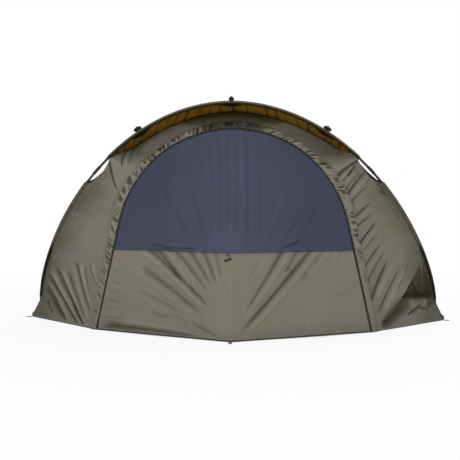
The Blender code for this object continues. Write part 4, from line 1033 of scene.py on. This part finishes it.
def front_wing(side, sign):
    """Half the front panel, from the zip to the rib, with its folds and three stitched lines."""
    up, out = np.linspace(0, 1, WING_ROWS), np.linspace(0, 1, WING_COLUMNS)
    smooth = wing_surface(sign, up, out)
    relief, in_shade = wing_relief(side, up, out, smooth)
    run = np.vstack([np.zeros((1, len(out))), np.cumsum(lengths(np.diff(smooth, axis=0)), 0)])
    edge, away = lengths(smooth - smooth[:, -1:]), lengths(smooth - smooth[:, :1])
    stitched = sum(seam_groove(edge, *seam, run) for seam in EDGE_SEAMS) + seam_groove(away, *ZIP_SEAM, run)
    stitched = stitched * ramp(up, 0, 0.02)[:, None]
    shade = relief * 1.25 + in_shade * 1.9 + stitched * 3 - wing_shadow(up, out, smooth[..., 2], edge)
    cloth(f"front_wing_{side}_cloth", smooth, normals_of(smooth, FORWARD), relief + stitched, SHELL,
          ("front_rib",), f"front_wing_{side}", shade=shade)


def gathers(sign, up, run, way):
    """The heights of the flap's slanting gathers, drawn up less low on the jambs, and its edge's wander."""
    drawn_up = 0.45 + 0.55 * ramp(up, 0.16, 0.38)[:, None]
    slant = run + 0.030 * sign * way + 0.006 * Noise(93 + sign)(run / 0.09, way * 1.2)
    gather = Noise(91 + sign)(slant / GATHER_LENGTH, way * 0.7 + 3)
    finer = Noise(95 + sign)(slant / (GATHER_LENGTH * 0.45), way)
    swell = np.sin(np.pi * np.clip(way * 0.92 + 0.04, 0, 1)) ** 0.6
    wander = GUTTER_WANDER * drawn_up * Noise(97 + sign)(run / 0.033, run * 0)
    return GATHER_HEIGHT * (0.5 - np.abs(gather) * 1.9 + finer * 0.42) * drawn_up * swell, wander


def gutter(side, sign):
    """The gathered storm flap over the zip: a band drawn up by its thread into uneven slanting gathers."""
    up, way = np.linspace(0, 1, 760), np.linspace(0, 1, 26)[None, :]
    inner = DOORWAY.at(up, ZIP_EDGE, sign)
    edge = resampled(WING_EDGE, up) * (sign, 1, 1)
    across = unit(edge - inner)
    front = normals_of(np.stack([inner, edge], 1), FORWARD)[:, :1]
    width = np.minimum(GUTTER_WIDTH, lengths(edge - inner) - GUTTER_START - CLOTH_GAP)[:, None]
    run = (up * lengths(np.diff(inner, axis=0)).sum())[:, None]
    ruffle, wander = gathers(sign, up, run, way)
    at_jamb = GUTTER_AT_JAMB[side]
    over_zip = (at_jamb + (GUTTER_AT_ARCH - at_jamb) * ramp(up, 0.3, 0.55))[:, None]
    spread = (over_zip - ZIP_EDGE) + (width + GUTTER_START - over_zip) * way + wander * (1 - way)
    height = GUTTER_LIFT + GUTTER_CROWN * np.sin(np.pi * way)
    smooth = inner[:, None] + across[:, None] * spread[..., None] + front * height[..., None]
    under_peak = GUTTER_PEAK_SHADE * ramp(up, 0.84, 0.97)[:, None]
    raised = np.maximum(ruffle, GUTTER_LOWEST - height)
    cloth(f"storm_gutter_{side}_cloth", smooth, front, raised, GUTTER, ("front_rib",),
          f"storm_gutter_{side}", shade=ruffle * 2.2 - under_peak,
          thickness=GUTTER_LOOK)


def sleeve(name, low, high):
    """A sleeve that the front rib runs in, with painted shade on its underside along the hood, and low down
    on the legs.
    """
    share = np.linspace(low, high, int((high - low) * FRONT.length / SLEEVE_STEP))
    path, run = FRONT.at(share), share * FRONT.length
    turn = np.linspace(0, 2 * np.pi, SLEEVE_SIDES, endpoint=False)
    ripple = Noise(101)(run[:, None] / 0.03, turn[None, :] * 0.8 + run[:, None] * 3)
    ends = ramp(np.minimum(share - low, high - share) * FRONT.length, 0, 0.012)
    radius = (SLEEVE_LOOK_RADIUS + SLEEVE_RIPPLE * ripple) * (0.93 + 0.07 * ends)[:, None]
    ways = spokes(path, SLEEVE_SIDES, FRONT_PLANE)
    # Painted shade: dark on the hood sleeve's underside, and on the leg sleeves towards the ground
    if name == "hood_sleeve":
        under = unit(np.array((0.0, -0.25, 0.0)) - rib_out(FRONT, share))
        dark = ramp((ways * under[:, None]).sum(-1), 0.12, 0.42)
    else:
        dark = np.repeat(ramp(path[:, 2], 0.60, 0.44)[:, None], SLEEVE_SIDES, 1)
    points = path[:, None] + ways * radius[..., None]
    obj = grid_mesh(f"{name}_cloth", points, -SLEEVE_SHADE * dark, around=True)
    thicken(obj, SLEEVE_LOOK)
    finish_with(obj, LEG_SLEEVE)
    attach(obj, "front_rib")
    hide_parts(name)


def sleeves():
    sleeve("leg_sleeve_left", RIB_FIRST, BARE_LOW_SHARE)
    sleeve("hood_sleeve", BARE_HIGH_SHARE, 1 - BARE_HIGH_SHARE)
    sleeve("leg_sleeve_right", 1 - BARE_LOW_SHARE, 1 - RIB_FIRST)


def corner_straps():
    """A strap sewn down each wing's edge, from the rib's foot to its pegged corner, black on the right."""
    up = np.linspace(0.003, STRAP_TOP_SHARE, 40)
    for side, (material, slot) in STRAPS.items():
        edge = wing_surface(SIDES[side], up, np.array([0.985, 1.0]))
        across = unit(edge[:, 1] - edge[:, 0])
        out = normals_of(edge, FORWARD)[:, 0]
        path = edge[:, 1] - across * STRAP_HALF_WIDTH
        band = strip(f"corner_strap_{side}", path, across, out, STRAP_HALF_WIDTH, STRAP_LIFT, material)
        on_front(band)


# The door and its zip

HEM_BINDING = 9 * MM
HEM_BINDING_LIFT = 1.2 * MM
HEM_BINDING_END = 14 * MM
ZIP_TEETH_COUNT = 1180
ZIP_SIDES = 8
ZIP_RADII = (1.5 * MM, 2.35 * MM)
ZIP_SET_BACK = 1.0 * MM
# Zip tapes: how far their middle is outside the teeth, their half width, their lift and their body
ZIP_TAPES = {
    "outer": (5.6 * MM, 4.6 * MM, 1.7 * MM, "front_rib"),
    "inner": (-4.2 * MM, 3.6 * MM, 2.0 * MM, "door"),
}
FAN_APEX = (-0.08, 0.06)
FAN_BEARINGS = (178, 108)
FAN_COUNT = 11
FAN_REACH = 0.9
FAN_HEIGHT = 0.9 * MM

# Folds: x and z at the start and at the end, height and half breadth, all in mm
DOOR_FOLDS = (
    (-140, 200, -605, 595, -11, 11), (-155, 180, -660, 600, 9, 14), (-190, 155, -595, 425, -9, 17),
    (-215, 135, -690, 420, 5, 18), (-315, 345, -495, 560, -8, 8), (-260, 325, -450, 565, 7, 9),
    (-150, 290, -400, 580, -8, 9), (-135, 320, -350, 570, 6, 8), (-135, 335, -290, 570, -8, 8),
    (-110, 320, -240, 575, 5, 7), (-90, 335, -200, 575, -8, 8), (-75, 315, -155, 580, 5, 7),
    (-65, 365, -115, 570, -5, 7), (-140, 15, -870, 35, -13, 13), (-90, 10, -730, 75, 9, 17),
    (-70, 20, -255, 100, -6, 7), (-255, 100, -515, 135, -3, 9), (-730, 375, -805, 400, -5, 5),
    (-715, 305, -820, 325, -5, 5), (-690, 245, -830, 265, -5, 6), (-710, 185, -835, 200, -5, 5),
    (-715, 140, -840, 150, -4, 5), (-725, 85, -850, 90, -5, 5), (-715, 55, -855, 60, -4, 5),
    (-415, 235, -665, 390, -3, 13), (-320, 155, -595, 265, -3, 13), (-370, 110, -730, 200, -2, 13),
    (90, 175, 360, 610, -10, 9), (115, 165, 420, 615, 6, 13), (65, 55, 580, 640, -12, 11),
    (100, 35, 635, 640, 7, 15), (325, 390, 420, 555, -8, 7), (420, 335, 580, 570, -7, 10),
    (465, 335, 615, 560, 4, 11), (105, 350, 175, 480, -4, 8), (515, 445, 580, 535, -5, 5),
    (595, 450, 630, 535, -4, 5), (655, 455, 680, 535, -4, 5), (705, 470, 725, 525, -3, 5),
    (610, 110, 760, 145, -2, 7), (535, 85, 750, 180, -2, 7), (645, 210, 750, 245, -3, 6),
    (645, 245, 740, 275, -3, 6), (580, 30, 785, 50, -2, 7),
)
NET_FOLDS = (
    (-505, 570, -370, 535, -9, 4), (-425, 545, -230, 545, -9, 4), (-480, 580, -310, 560, 6, 4),
    (305, 545, 425, 590, -9, 4), (325, 535, 435, 565, 6, 4), (-270, 605, -440, 915, -3, 9),
    (-160, 580, -265, 905, -3, 9), (-320, 605, -390, 845, 3, 9), (-125, 750, -175, 1155, 2, 10),
    (290, 535, 440, 810, -3, 9), (365, 535, 535, 810, -3, 9), (185, 540, 325, 905, 3, 9),
    (-105, 540, -115, 1285, 3, 7), (-80, 540, -90, 1285, -3, 6), (-35, 545, -40, 1285, -3, 6),
    (0, 545, -15, 1285, 3, 7), (25, 545, 20, 1285, -3, 6), (60, 545, 50, 1285, 3, 6),
    (95, 540, 80, 1285, -3, 6), (130, 540, 115, 1285, 3, 6), (170, 540, 155, 1285, -3, 6),
)


def door_grid(z, columns):
    """Rows of points across the door at these heights."""
    x = DOORWAY.half_width(z[:, None], -DOOR_EDGE) * np.linspace(-1, 1, columns)[None, :]
    z = np.broadcast_to(z[:, None], x.shape)
    return np.stack([x, door_surface(x, z), z], -1), x, z


def inside_jambs(x):
    """0 along the zip, where the door is sewn to its tape, and 1 inside."""
    return ramp(np.abs(x[:, :1]) - np.abs(x), 0, 0.05)


def skirt_fan(x, z):
    """Faint folds that spread over the skirt from low in its middle."""
    dx, dz = x - FAN_APEX[0], z - FAN_APEX[1]
    distance, bearing = np.hypot(dx, dz), np.degrees(np.arctan2(dz, dx))
    way = (bearing - FAN_BEARINGS[0]) / (FAN_BEARINGS[1] - FAN_BEARINGS[0])
    wander = Noise(139)(way * 2.3, distance / FAN_REACH * 2) * 0.9
    wave = np.sin(2 * np.pi * (way * FAN_COUNT + wander))
    size = np.clip(distance / FAN_REACH * 3, 0, 1) * smoothstep((1 - distance / FAN_REACH) * 1.4)
    return FAN_HEIGHT * np.sign(wave) * np.abs(wave) ** 0.8 * ramp(way, 0, 0.2) * ramp(way, 1, 0.8) * size


def door_relief(x, z):
    """The skirt's folds: they spread from low in the middle and run up into the window's sill."""
    swells = drape(x, z, seed=121, size=0.22, height=1.6 * MM)
    dints = drape(x, z, seed=127, size=0.05, height=0.6 * MM)
    return 0.82 * folds(x, z, DOOR_FOLDS, breadth_share=1.45) + swells + dints + skirt_fan(x, z)


def door_skirt():
    """The door's solid lower part, with a seam down its middle and stitching along its hem and sill."""
    low, high = HEM_HEIGHT, MESH_SILL - TOUCH_GAP / 2
    smooth, x, z = door_grid(np.linspace(low, high, 150), 440)
    relief = door_relief(x, z) * inside_jambs(x) * ramp(z, low, low + 0.03)
    seam = 1.2 * MM * bell(np.abs(x) - 8 * MM, 4 * MM) - 1.8 * MM * bell(x, 3.2 * MM)
    stitched = seam - 1.2 * MM * (bell(z - low - 20 * MM, 3 * MM) + bell(high - z - 11 * MM, 3 * MM))
    cloth("door_skirt_cloth", smooth, normals_of(smooth, FORWARD), relief + stitched, SHELL,
          ("door",), "door_skirt", shade=0.95 * relief + stitched * 2.5)


def door_net():
    """The mesh window: rows crowd toward the arch's top, and folds take up the skirt's at the sill."""
    low, high = MESH_SILL + TOUCH_GAP / 2, DOOR_HEIGHT - DOOR_EDGE - 0.4 * MM
    rise = np.linspace(0, math.pi / 2, 200)
    smooth, x, z = door_grid(low + (high - low) * np.sin(rise), 320)
    own = folds(x, z, NET_FOLDS) + drape(x, z, seed=131, size=0.3, height=2.2 * MM)
    own = (own + 0.6 * MM * Noise(137)(x / 0.022, z / 0.6)) * ramp(z, low, low + 0.012)
    from_skirt = door_relief(x, np.full_like(z, MESH_SILL)) * np.exp(-(z - low) / (10 * MM))
    relief = (own + from_skirt) * inside_jambs(x)
    cloth("door_mesh_net", smooth, np.array(FORWARD), relief, NET, ("door",), "door_mesh",
          thickness=0.8 * MM)


def hem_binding_painted_shadow():
    """The bound hem along the foot of the door, dark as painted shadow under its own weight."""
    x = np.linspace(-1, 1, 300) * (DOOR_FOOT_X - HEM_BINDING_END)
    z = np.full_like(x, HEM_HEIGHT + HEM_BINDING * 0.55)
    path = np.stack([x, door_surface(x, z), z], -1)
    up = np.broadcast_to(np.array(UPWARD), path.shape)
    out = unit(np.cross(np.gradient(path, axis=0), up))
    out = np.where(out[:, 1:2] > 0, -out, out)
    band = strip("hem_binding_painted_shadow", path, up, out, HEM_BINDING / 2, HEM_BINDING_LIFT, PAINTED_SHADOW_BINDING)
    on_front(band, "door")


def zip_tape(name, side, sign):
    """One side of the zip's tape, along one side of the door."""
    offset, half_width, lift, body = ZIP_TAPES[name]
    up = np.linspace(0, 1, 260)
    outward = unit(DOORWAY.at(up, 10 * MM, sign) - DOORWAY.at(up, 0.0, sign))
    forward = np.broadcast_to(np.array(FORWARD), outward.shape)
    tape = strip(f"zip_tape_{name}_{side}", DOORWAY.at(up, offset, sign), outward, forward, half_width, lift,
                 ZIP_TAPE)
    on_front(tape, body)


def zips():
    """The zip round the door: a coil on the front panel's tape, and the door's own tape inside it."""
    for side, sign in SIDES.items():
        for name in ZIP_TAPES:
            zip_tape(name, side, sign)
        radius = np.take(ZIP_RADII, np.arange(ZIP_TEETH_COUNT) % 2)
        path = DOORWAY.at(np.linspace(0.001, 0.9995, ZIP_TEETH_COUNT), 0.0, sign) - (0.0, ZIP_SET_BACK, 0.0)
        points = path[:, None] + spokes(path, ZIP_SIDES, FORWARD) * radius[:, None, None]
        coil = grid_mesh(f"door_zip_{side}_coil", points, around=True)
        close_ends(coil.data, ZIP_SIDES)
        finish_with(coil, ZIP_TEETH)
        on_front(coil)
        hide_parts(f"door_zip_{side}")


# Groundsheet, vent and loops

SHEET_INSET = 26 * MM
SHEET_HALF_WIDTH = 1257 * MM
SHEET_THICKNESS = 1.6 * MM
VENT_HALF_WIDTH = 300 * MM
VENT_CROWN = 34 * MM
VENT_LIFT = CLOTH + CLOTH_GAP
VENT_STANDOFF = 1.5 * MM
VENT_DOWN_SHARE = 0.16
VENT_DEPTH_SHARE = 0.13
VENT_TAPER_SHARE = 0.86
LOOP_WIDTH = 22 * MM
LOOP_LENGTH = 34 * MM
LOOP_THICKNESS = 3 * MM
LOOP_EYE_RADIUS = 6 * MM
LOOP_UNDERSIDE = 0.1 * MM
LOOP_DOME = 0.35 * MM
LOOP_EDGE_DROP = 0.5 * MM
LOOP_STEPS = 28
LOOP_ROWS = 6


def groundsheet():
    """The floor, laid flat inside the hems, with its weight's small waves."""
    back = GROUND_REACH - 2 * SHEET_INSET
    brow = SHEET_INSET - DOOR_FORWARD
    tip = brow - DOOR_BULGE
    y = tip + (back - tip) * (0.5 - 0.5 * np.cos(np.pi * np.linspace(0, 1, 150)))
    arch = np.maximum(0, 1 - np.clip(y / back, 0, 1) ** GROUND_FULLNESS) ** (1 / GROUND_FULLNESS)
    front_half = DOOR_FOOT_X + (SHEET_HALF_WIDTH - DOOR_FOOT_X) * (y - brow) / -brow
    half = np.where(y > 0, SHEET_HALF_WIDTH * arch, front_half)
    half = np.where(y < brow, DOOR_FOOT_X * (y - tip) / (brow - tip), half)
    x = np.maximum(half, 2 * MM)[:, None] * np.linspace(-1, 1, 170)[None, :]
    y = np.broadcast_to(y[:, None], x.shape)
    wave = 0.5 * MM * (1 + drape(x, y, seed=151, size=0.2, height=0.7))
    points = np.stack([x, y, SHEET_THICKNESS + np.clip(wave, 0, 1.2 * MM)], -1)
    obj = grid_mesh("groundsheet_cloth", points, wave)
    thicken(obj, SHEET_THICKNESS)
    finish_with(obj, FLOOR_SHEET)
    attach(obj, "base")
    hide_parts("groundsheet")


def vent_row(way, across, half_width, depth_share, lift):
    """A row of points over the back wall, this way down the vent and lifted off the wall."""
    share = THIRD.share_at_x(across * half_width)
    points, out = REAR.at(share, np.full((len(share), 1), VENT_DOWN_SHARE + way * depth_share))
    return (points + out * np.reshape(lift, (-1, 1, 1)))[:, 0]


def rear_vent():
    """A net strip on the back wall under a domed hood, which is open below and held by a wire edge."""
    across, hood, net = np.linspace(-1, 1, 120), [], []
    for way in np.linspace(0, 1, 34):
        half_width = VENT_HALF_WIDTH * (VENT_TAPER_SHARE + (1 - VENT_TAPER_SHARE) * way)
        rise = VENT_CROWN * way**0.8 * np.maximum(0, 1 - across**2) ** 0.6
        hood.append(vent_row(way, across, half_width, VENT_DEPTH_SHARE, 2 * VENT_LIFT + VENT_STANDOFF + rise))
        net.append(vent_row(way, across, VENT_HALF_WIDTH * VENT_TAPER_SHARE,
                            VENT_DEPTH_SHARE * VENT_TAPER_SHARE, VENT_LIFT + VENT_STANDOFF))
    for name, rows, thickness, material, slot, node in (
        ("rear_vent_hood_cloth", hood, CLOTH_LOOK, SHELL_INSIDE, "shell_cloth", "rear_vent_hood"),
        ("rear_vent_net", net, 0.8 * MM, NET, "mesh_cloth", "rear_vent_mesh"),
    ):
        smooth = np.array(rows)
        relief = drape(smooth[..., 0], smooth[..., 1], seed=161, size=0.09, height=1.2 * MM)
        square = normals_of(smooth, (0.0, 1.0, 1.0))
        cloth(name, smooth, square, relief * edge_hold(*relief.shape), material, REAR.bodies, node,
              thickness=thickness)


def loop_rings():
    """Rings of points from a loop's eye to its edge, which is round at its tip and square at its root."""
    half = LOOP_WIDTH / 2
    centre = LOOP_LENGTH - half
    for step in range(LOOP_STEPS):
        turn = 2 * math.pi * step / LOOP_STEPS
        ray = Vector((math.cos(turn), math.sin(turn)))
        outer = half
        if ray.y < 0:
            outer = min(half / max(abs(ray.x), 1e-6), centre / max(-ray.y, 1e-6))
        width = outer - LOOP_EYE_RADIUS
        reaches = [LOOP_EYE_RADIUS + width * row / LOOP_ROWS for row in range(LOOP_ROWS + 1)]
        yield [ray * reach + Vector((0, centre)) for reach in reaches]


def peg_loop(where, at, away, body):
    """A webbing loop that lies on the ground, with an eye for a peg."""
    rings = list(loop_rings())
    domes = [math.sin(math.pi * row / LOOP_ROWS) * LOOP_DOME for row in range(LOOP_ROWS + 1)]
    top = LOOP_THICKNESS - LOOP_EDGE_DROP
    shape = bmesh.new()
    tops = [[shape.verts.new((p.x, p.y, top + dome)) for p, dome in zip(ring, domes)] for ring in rings]
    lows = [[shape.verts.new((p.x, p.y, LOOP_UNDERSIDE)) for p in ring] for ring in rings]
    for i in range(LOOP_STEPS):
        j = (i + 1) % LOOP_STEPS
        for row in range(LOOP_ROWS):
            shape.faces.new((tops[i][row], tops[i][row + 1], tops[j][row + 1], tops[j][row]))
            shape.faces.new((lows[i][row], lows[j][row], lows[j][row + 1], lows[i][row + 1]))
        for row in (0, LOOP_ROWS):
            shape.faces.new((tops[i][row], tops[j][row], lows[j][row], lows[i][row]))
    bmesh.ops.recalc_face_normals(shape, faces=shape.faces)
    shape.transform(frame_of(Vector((-away.y, away.x, 0)), away, Vector(UPWARD), at))
    obj = fitting(f"peg_loop_{where}_webbing", shape, TAPE, body, f"peg_loop_{where}",
                  flattens=body != "base")


def peg_loops():
    front_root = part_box("peg_loop_front")[1].y
    rear_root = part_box("peg_loop_rear")[0].y
    peg_loop("front", Vector((0, front_root, 0)), Vector((0, -1, 0)), "door")
    peg_loop("rear", Vector((0, rear_root, 0)), Vector((0, 1, 0)), "base")
    for side, sign in SIDES.items():
        away = Vector((sign, -CORNER_FORWARD / CORNER_X, 0)).normalized()
        peg_loop(side, Vector((sign * (CORNER_X + CLOTH / 2), -CORNER_FORWARD, 0)), away, "front_rib")


# Toggle, zip sliders and tension bars

TOGGLE_X = -22 * MM
TOGGLE_DROP = 34 * MM
TOGGLE_LENGTH = 44 * MM
TOGGLE_RADIUS = 5.5 * MM
TOGGLE_WAIST = 3.5 * MM
TOGGLE_TILT_DEGREES = -16
TAB_WIDTH = 12 * MM
TAB_LENGTH = 34 * MM
TAB_THICKNESS = 2 * MM
TAB_BEVEL = 0.6 * MM
SLIDER_WIDTH = 9 * MM
SLIDER_LENGTH = 24 * MM
SLIDER_UP_JAMB = 120 * MM
SLIDER_BACK = ZIP_RADIUS + 2.6 * MM
PULL_WIDTH = 8 * MM
PULL_LENGTH = 42 * MM
BAR_RADIUS = 6 * MM
BAR_LIFT = 31 * MM
BAR_CAP_LIFT = 24 * MM
BAR_CAP_LENGTH = 21 * MM
BAR_CAP_WIDTH = {"left": 27 * MM, "centre": 16.2 * MM, "right": 27 * MM}
BAR_CAP_HEIGHT = 13 * MM
BAR_TAIL_RADIUS = 9 * MM
STUD_FOOT = 16 * MM
STUD_NECK = 13.5 * MM


def toggle():
    """The bar toggle that ties the rolled door, on its folded tab."""
    height = MESH_SILL - TOGGLE_DROP
    low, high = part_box("door_toggle_tab")
    depth = high[1] - low[1]
    root = height + TAB_LENGTH - TAB_WIDTH / 2
    shape = bmesh.new()
    block(shape, (TAB_WIDTH, TAB_THICKNESS, TAB_LENGTH),
          (TOGGLE_X, low[1] + TAB_THICKNESS / 2, height + TAB_LENGTH / 2), TAB_BEVEL)
    block(shape, (TAB_WIDTH, depth, TAB_WIDTH * 0.8), (TOGGLE_X, low[1] + depth / 2, root), TAB_BEVEL)
    fitting("door_toggle_tab_webbing", shape, SHELL, "door", "door_toggle_tab")
    way = np.linspace(-1, 1, 41)
    waist = TOGGLE_WAIST + (TOGGLE_RADIUS - TOGGLE_WAIST) * ramp(np.abs(way), 0.15, 0.65)
    cap = np.sqrt(np.maximum(0.06, 1 - np.clip((np.abs(way) - 0.86) / 0.14, 0, 1) ** 2))
    place = Matrix.Translation((TOGGLE_X, low[1] - CLOTH_GAP - TOGGLE_WAIST, height))
    tilt = place @ Matrix.Rotation(math.radians(90 + TOGGLE_TILT_DEGREES), 4, "Y")
    shape = bmesh.new()
    turned(shape, list(zip((waist * cap).tolist(), (way * TOGGLE_LENGTH / 2).tolist())), tilt)
    fitting("door_toggle_moulding", shape, PLASTIC, "door", "door_toggle")


def zip_sliders():
    """Each slider's body, its bridge and its long pull, as width, length, thickness, place and bevel."""
    pull_back = SLIDER_BACK + 2.8 * MM
    parts = (
        (SLIDER_WIDTH, SLIDER_LENGTH, 2 * MM, 0, SLIDER_BACK, 0.8 * MM),
        (SLIDER_WIDTH * 0.35, SLIDER_LENGTH * 0.55, 3 * MM, 0, SLIDER_BACK + 2.0 * MM, 0.9 * MM),
        (PULL_WIDTH * 0.62, PULL_LENGTH, 1.8 * MM, -PULL_LENGTH / 2, pull_back, 0.7 * MM),
        (PULL_WIDTH, PULL_LENGTH * 0.34, 2.4 * MM, -PULL_LENGTH * 0.83, pull_back, 1.0 * MM),
    )
    for side, sign in SIDES.items():
        up = Vector((-sign * math.sin(DOORWAY.turn), 0, math.cos(DOORWAY.turn)))
        foot = Vector(DOORWAY.at(np.array([0.0]), 0.0, sign)[0])
        across = up.cross(Vector(FORWARD)).normalized()
        shape = bmesh.new()
        for width, length, thickness, along, out, bevel in parts:
            block(shape, (width, length, thickness), (0, along, out), bevel)
        shape.transform(frame_of(across, up, Vector(FORWARD), foot + up * SLIDER_UP_JAMB))
        fitting(f"zip_slider_{side}_cast", shape, ZIP_TEETH, f"zip_slider_{side}",
                f"zip_slider_{side}")


def bar_profile(length):
    """The rod from inside the cap to the ball at its tail, with a collar at each."""
    start = BAR_CAP_LENGTH * 0.7
    neck = length - BAR_TAIL_RADIUS * 1.6
    rod = [
        (BAR_RADIUS * 1.25, start),
        (BAR_RADIUS * 1.2, start + 9 * MM),
        (BAR_RADIUS, start + 13 * MM),
        (BAR_RADIUS * 0.92, (start + neck) / 2),
        (BAR_RADIUS, neck - 8 * MM),
        (BAR_RADIUS * 1.1, neck - 3 * MM),
    ]
    turns = [math.pi * (0.22 + 0.76 * step / 12) for step in range(1, 13)]
    ball = [(BAR_TAIL_RADIUS * math.sin(turn), length - BAR_TAIL_RADIUS * math.cos(turn)) for turn in turns]
    return rod + ball


def tension_bar(name, place, length):
    """A bar that spans the hood: its egg-shaped cap on the stud, a tapering rod and a ball on its rest."""
    shape = bmesh.new()
    lay = Matrix.Translation((0, 0, BAR_LIFT)) @ Matrix.Rotation(math.radians(90), 4, "Y")
    turned(shape, bar_profile(length), lay, 36)
    cap = bmesh.ops.create_uvsphere(shape, u_segments=40, v_segments=24, radius=1)["verts"]
    bmesh.ops.scale(shape, vec=(BAR_CAP_LENGTH, BAR_CAP_WIDTH[name], BAR_CAP_HEIGHT), verts=cap)
    bmesh.ops.translate(shape, vec=(0, 0, BAR_CAP_LIFT), verts=cap)
    shape.transform(place)
    fitting(f"tension_bar_{name}_moulding", shape, PLASTIC, f"bar_{name}",
            f"tension_bar_{name}", flattens=False)


def bar_stud(name, place):
    """The stud that a bar turns on: its foot on the hood, its neck, and its button over the bar's cap."""
    foot = HOOD_EDGE_OFFSET + CLOTH_LOOK / 2
    neck = BAR_CAP_LIFT - BAR_CAP_HEIGHT * 0.6
    head = BAR_CAP_LIFT + BAR_CAP_HEIGHT
    shape = bmesh.new()
    turned(shape, [(STUD_FOOT, foot), (STUD_FOOT, foot + 1.2 * MM), (STUD_NECK * 1.15, (foot + neck) / 2),
                   (STUD_NECK, neck), (STUD_NECK, neck + 6 * MM)], place)
    turned(shape, [(3 * MM, head - 4 * MM), (6.5 * MM, head - 0.6 * MM), (6.2 * MM, head + 1.2 * MM),
                   (4 * MM, head + 2.6 * MM), (1 * MM, head + 3.2 * MM)], place)
    fitting(f"bar_stud_{name}_moulding", shape, PLASTIC, "front_rib", f"bar_stud_{name}",
            flattens=False)


def tension_bars():
    for name, x in BAR_PLACES.items():
        a, b, out = (Vector(v) for v in BETWEEN_FRONT_RIBS.ruling(FRONT.share_at_x(x)))
        back = (b - a).normalized()
        place = frame_of(back, out.cross(back), out, a)
        tension_bar(name, place, (b - a).length)
        bar_stud(name, place)


def finish_nodes():
    """Gives each construction node that shows its own finish."""
    for node in frame["nodes"].values():
        if node.hide_render:
            continue
        for material_slot in node.material_slots:
            kind = material_slot.material.name.split(".")[0]
            if kind in NODE_FINISHES:
                material_slot.material = NODE_FINISHES[kind]


def build():
    roofs()
    lining()
    rear()
    rib_seams()
    for side, sign in SIDES.items():
        front_wing(side, sign)
    for side, sign in SIDES.items():
        gutter(side, sign)
    sleeves()
    stud_patches()
    door_skirt()
    hem_binding_painted_shadow()
    door_net()
    zips()
    groundsheet()
    rear_vent()
    peg_loops()
    corner_straps()
    toggle()
    zip_sliders()
    tension_bars()
    finish_nodes()


# Light, floor and camera

ROOM_LIGHT = 0.33
LIGHTS_AIM = (0.0, 0.0, 0.6)
LIGHTS = {
    "KEY": ((-1.6, -6.1, 1.9), 1.5, 160),
    "TOP": ((0.8, 0.4, 5.0), 3.0, 110),
    "FILL": ((4.0, -4.4, 1.9), 2.6, 42),
    "BACK": ((1.5, 5.0, 2.6), 3.0, 80),
}
FLOOR_REACH = 14.0
FLOOR_HEIGHT = -0.6 * MM
FLOOR_COLOUR = (0.8, 0.8, 0.8, 1.0)
SHADOW_FADE = (1.7, 3.2)
COVERED_X = 1.36
COVERED_Y = 1.2
COVERED_MIDDLE_Y = 0.42
COVERED_EDGE = (0.92, 0.98)
CAMERA_PLACE = (0.2144, -5.4, 1.0285)
CAMERA_YAW = -0.0473
CAMERA_PITCH = -0.0769
FOCAL_PIXELS = 777.06
PHOTO_PIXELS = 460
SENSOR = 36.0


def lights():
    """Four soft lamps, each with its place, size and power."""
    for name, (place, size, power) in LIGHTS.items():
        data = bpy.data.lights.new(name, "AREA")
        data.shape = "DISK"
        data.size = size
        data.energy = power
        obj = place_object(name, data)
        obj.location = place
        obj.rotation_euler = (Vector(LIGHTS_AIM) - Vector(place)).to_track_quat("-Z", "Y").to_euler()


def world():
    """Pale light from all round, and plain white where the camera, glass or gloss sees past the floor."""
    made = bpy.data.worlds.new("STUDIO")
    bpy.context.scene.world = made
    made.use_nodes = True
    wiring = Wiring(made.node_tree)
    sky = wiring.tree.nodes["Background"]
    wiring.put(sky, "Color", WHITE)
    wiring.put(sky, "Strength", ROOM_LIGHT)
    white = wiring.add("Background", {"Color": WHITE})
    mixed = wiring.add("MixShader", {0: wiring.background_rays(), 1: sky.outputs[0], 2: white.outputs[0]})
    wiring.put(wiring.tree.nodes["World Output"], 0, mixed.outputs[0])


def outside_tent(finish):
    """0 on the ground that the pitched tent covers and 1 round it, so that the ground is dark inside."""
    spot = finish.split(finish.place())
    x = finish.math("DIVIDE", spot[0], COVERED_X)
    y = finish.math("DIVIDE", finish.math("SUBTRACT", spot[1], COVERED_MIDDLE_Y), COVERED_Y)
    squares = finish.math("ADD", finish.math("MULTIPLY", x, x), finish.math("MULTIPLY", y, y))
    return finish.ranged(finish.math("SQRT", squares), *COVERED_EDGE)


def floor():
    """A white floor that melts into the backdrop, with the shelter's soft shadow left on it near by."""
    around = ((-1, -1), (1, -1), (1, 1), (-1, 1))
    corners = [(x * FLOOR_REACH, y * FLOOR_REACH, FLOOR_HEIGHT) for x, y in around]
    mesh = bpy.data.meshes.new("FLOOR")
    mesh.from_pydata(corners, [], [(0, 1, 2, 3)])
    finish = Finish("pale_floor", 0.9, specular=0.1)
    finish.put(finish.shader, "Base Color", FLOOR_COLOUR)
    glow = finish.add("Emission", {"Color": WHITE, "Strength": 1.0})
    away = finish.add("VectorMath", {0: finish.place()}, operation="LENGTH").outputs["Value"]
    share = finish.math("MULTIPLY", finish.background_rays(), finish.ranged(away, *SHADOW_FADE, 0.9, 1.0))
    share = finish.math("MULTIPLY", share, outside_tent(finish))
    mixed = finish.add("MixShader", {0: share, 1: finish.shader.outputs[0], 2: glow.outputs[0]})
    finish.put(finish.tree.nodes["Material Output"], 0, mixed.outputs[0])
    mesh.materials.append(finish.material)
    place_object("FLOOR", mesh)


def camera():
    """The photograph's camera, solved from the hem's corners, the zip's feet and the peak."""
    data = bpy.data.cameras.new("CAMERA")
    data.sensor_width = SENSOR
    data.lens = FOCAL_PIXELS / PHOTO_PIXELS * SENSOR
    obj = place_object("CAMERA", data)
    obj.location = CAMERA_PLACE
    obj.rotation_euler = (math.pi / 2 + CAMERA_PITCH, 0.0, -CAMERA_YAW)
    bpy.context.scene.camera = obj


build()
world()
floor()
lights()
camera()
bpy.context.scene.view_settings.view_transform = "Standard"
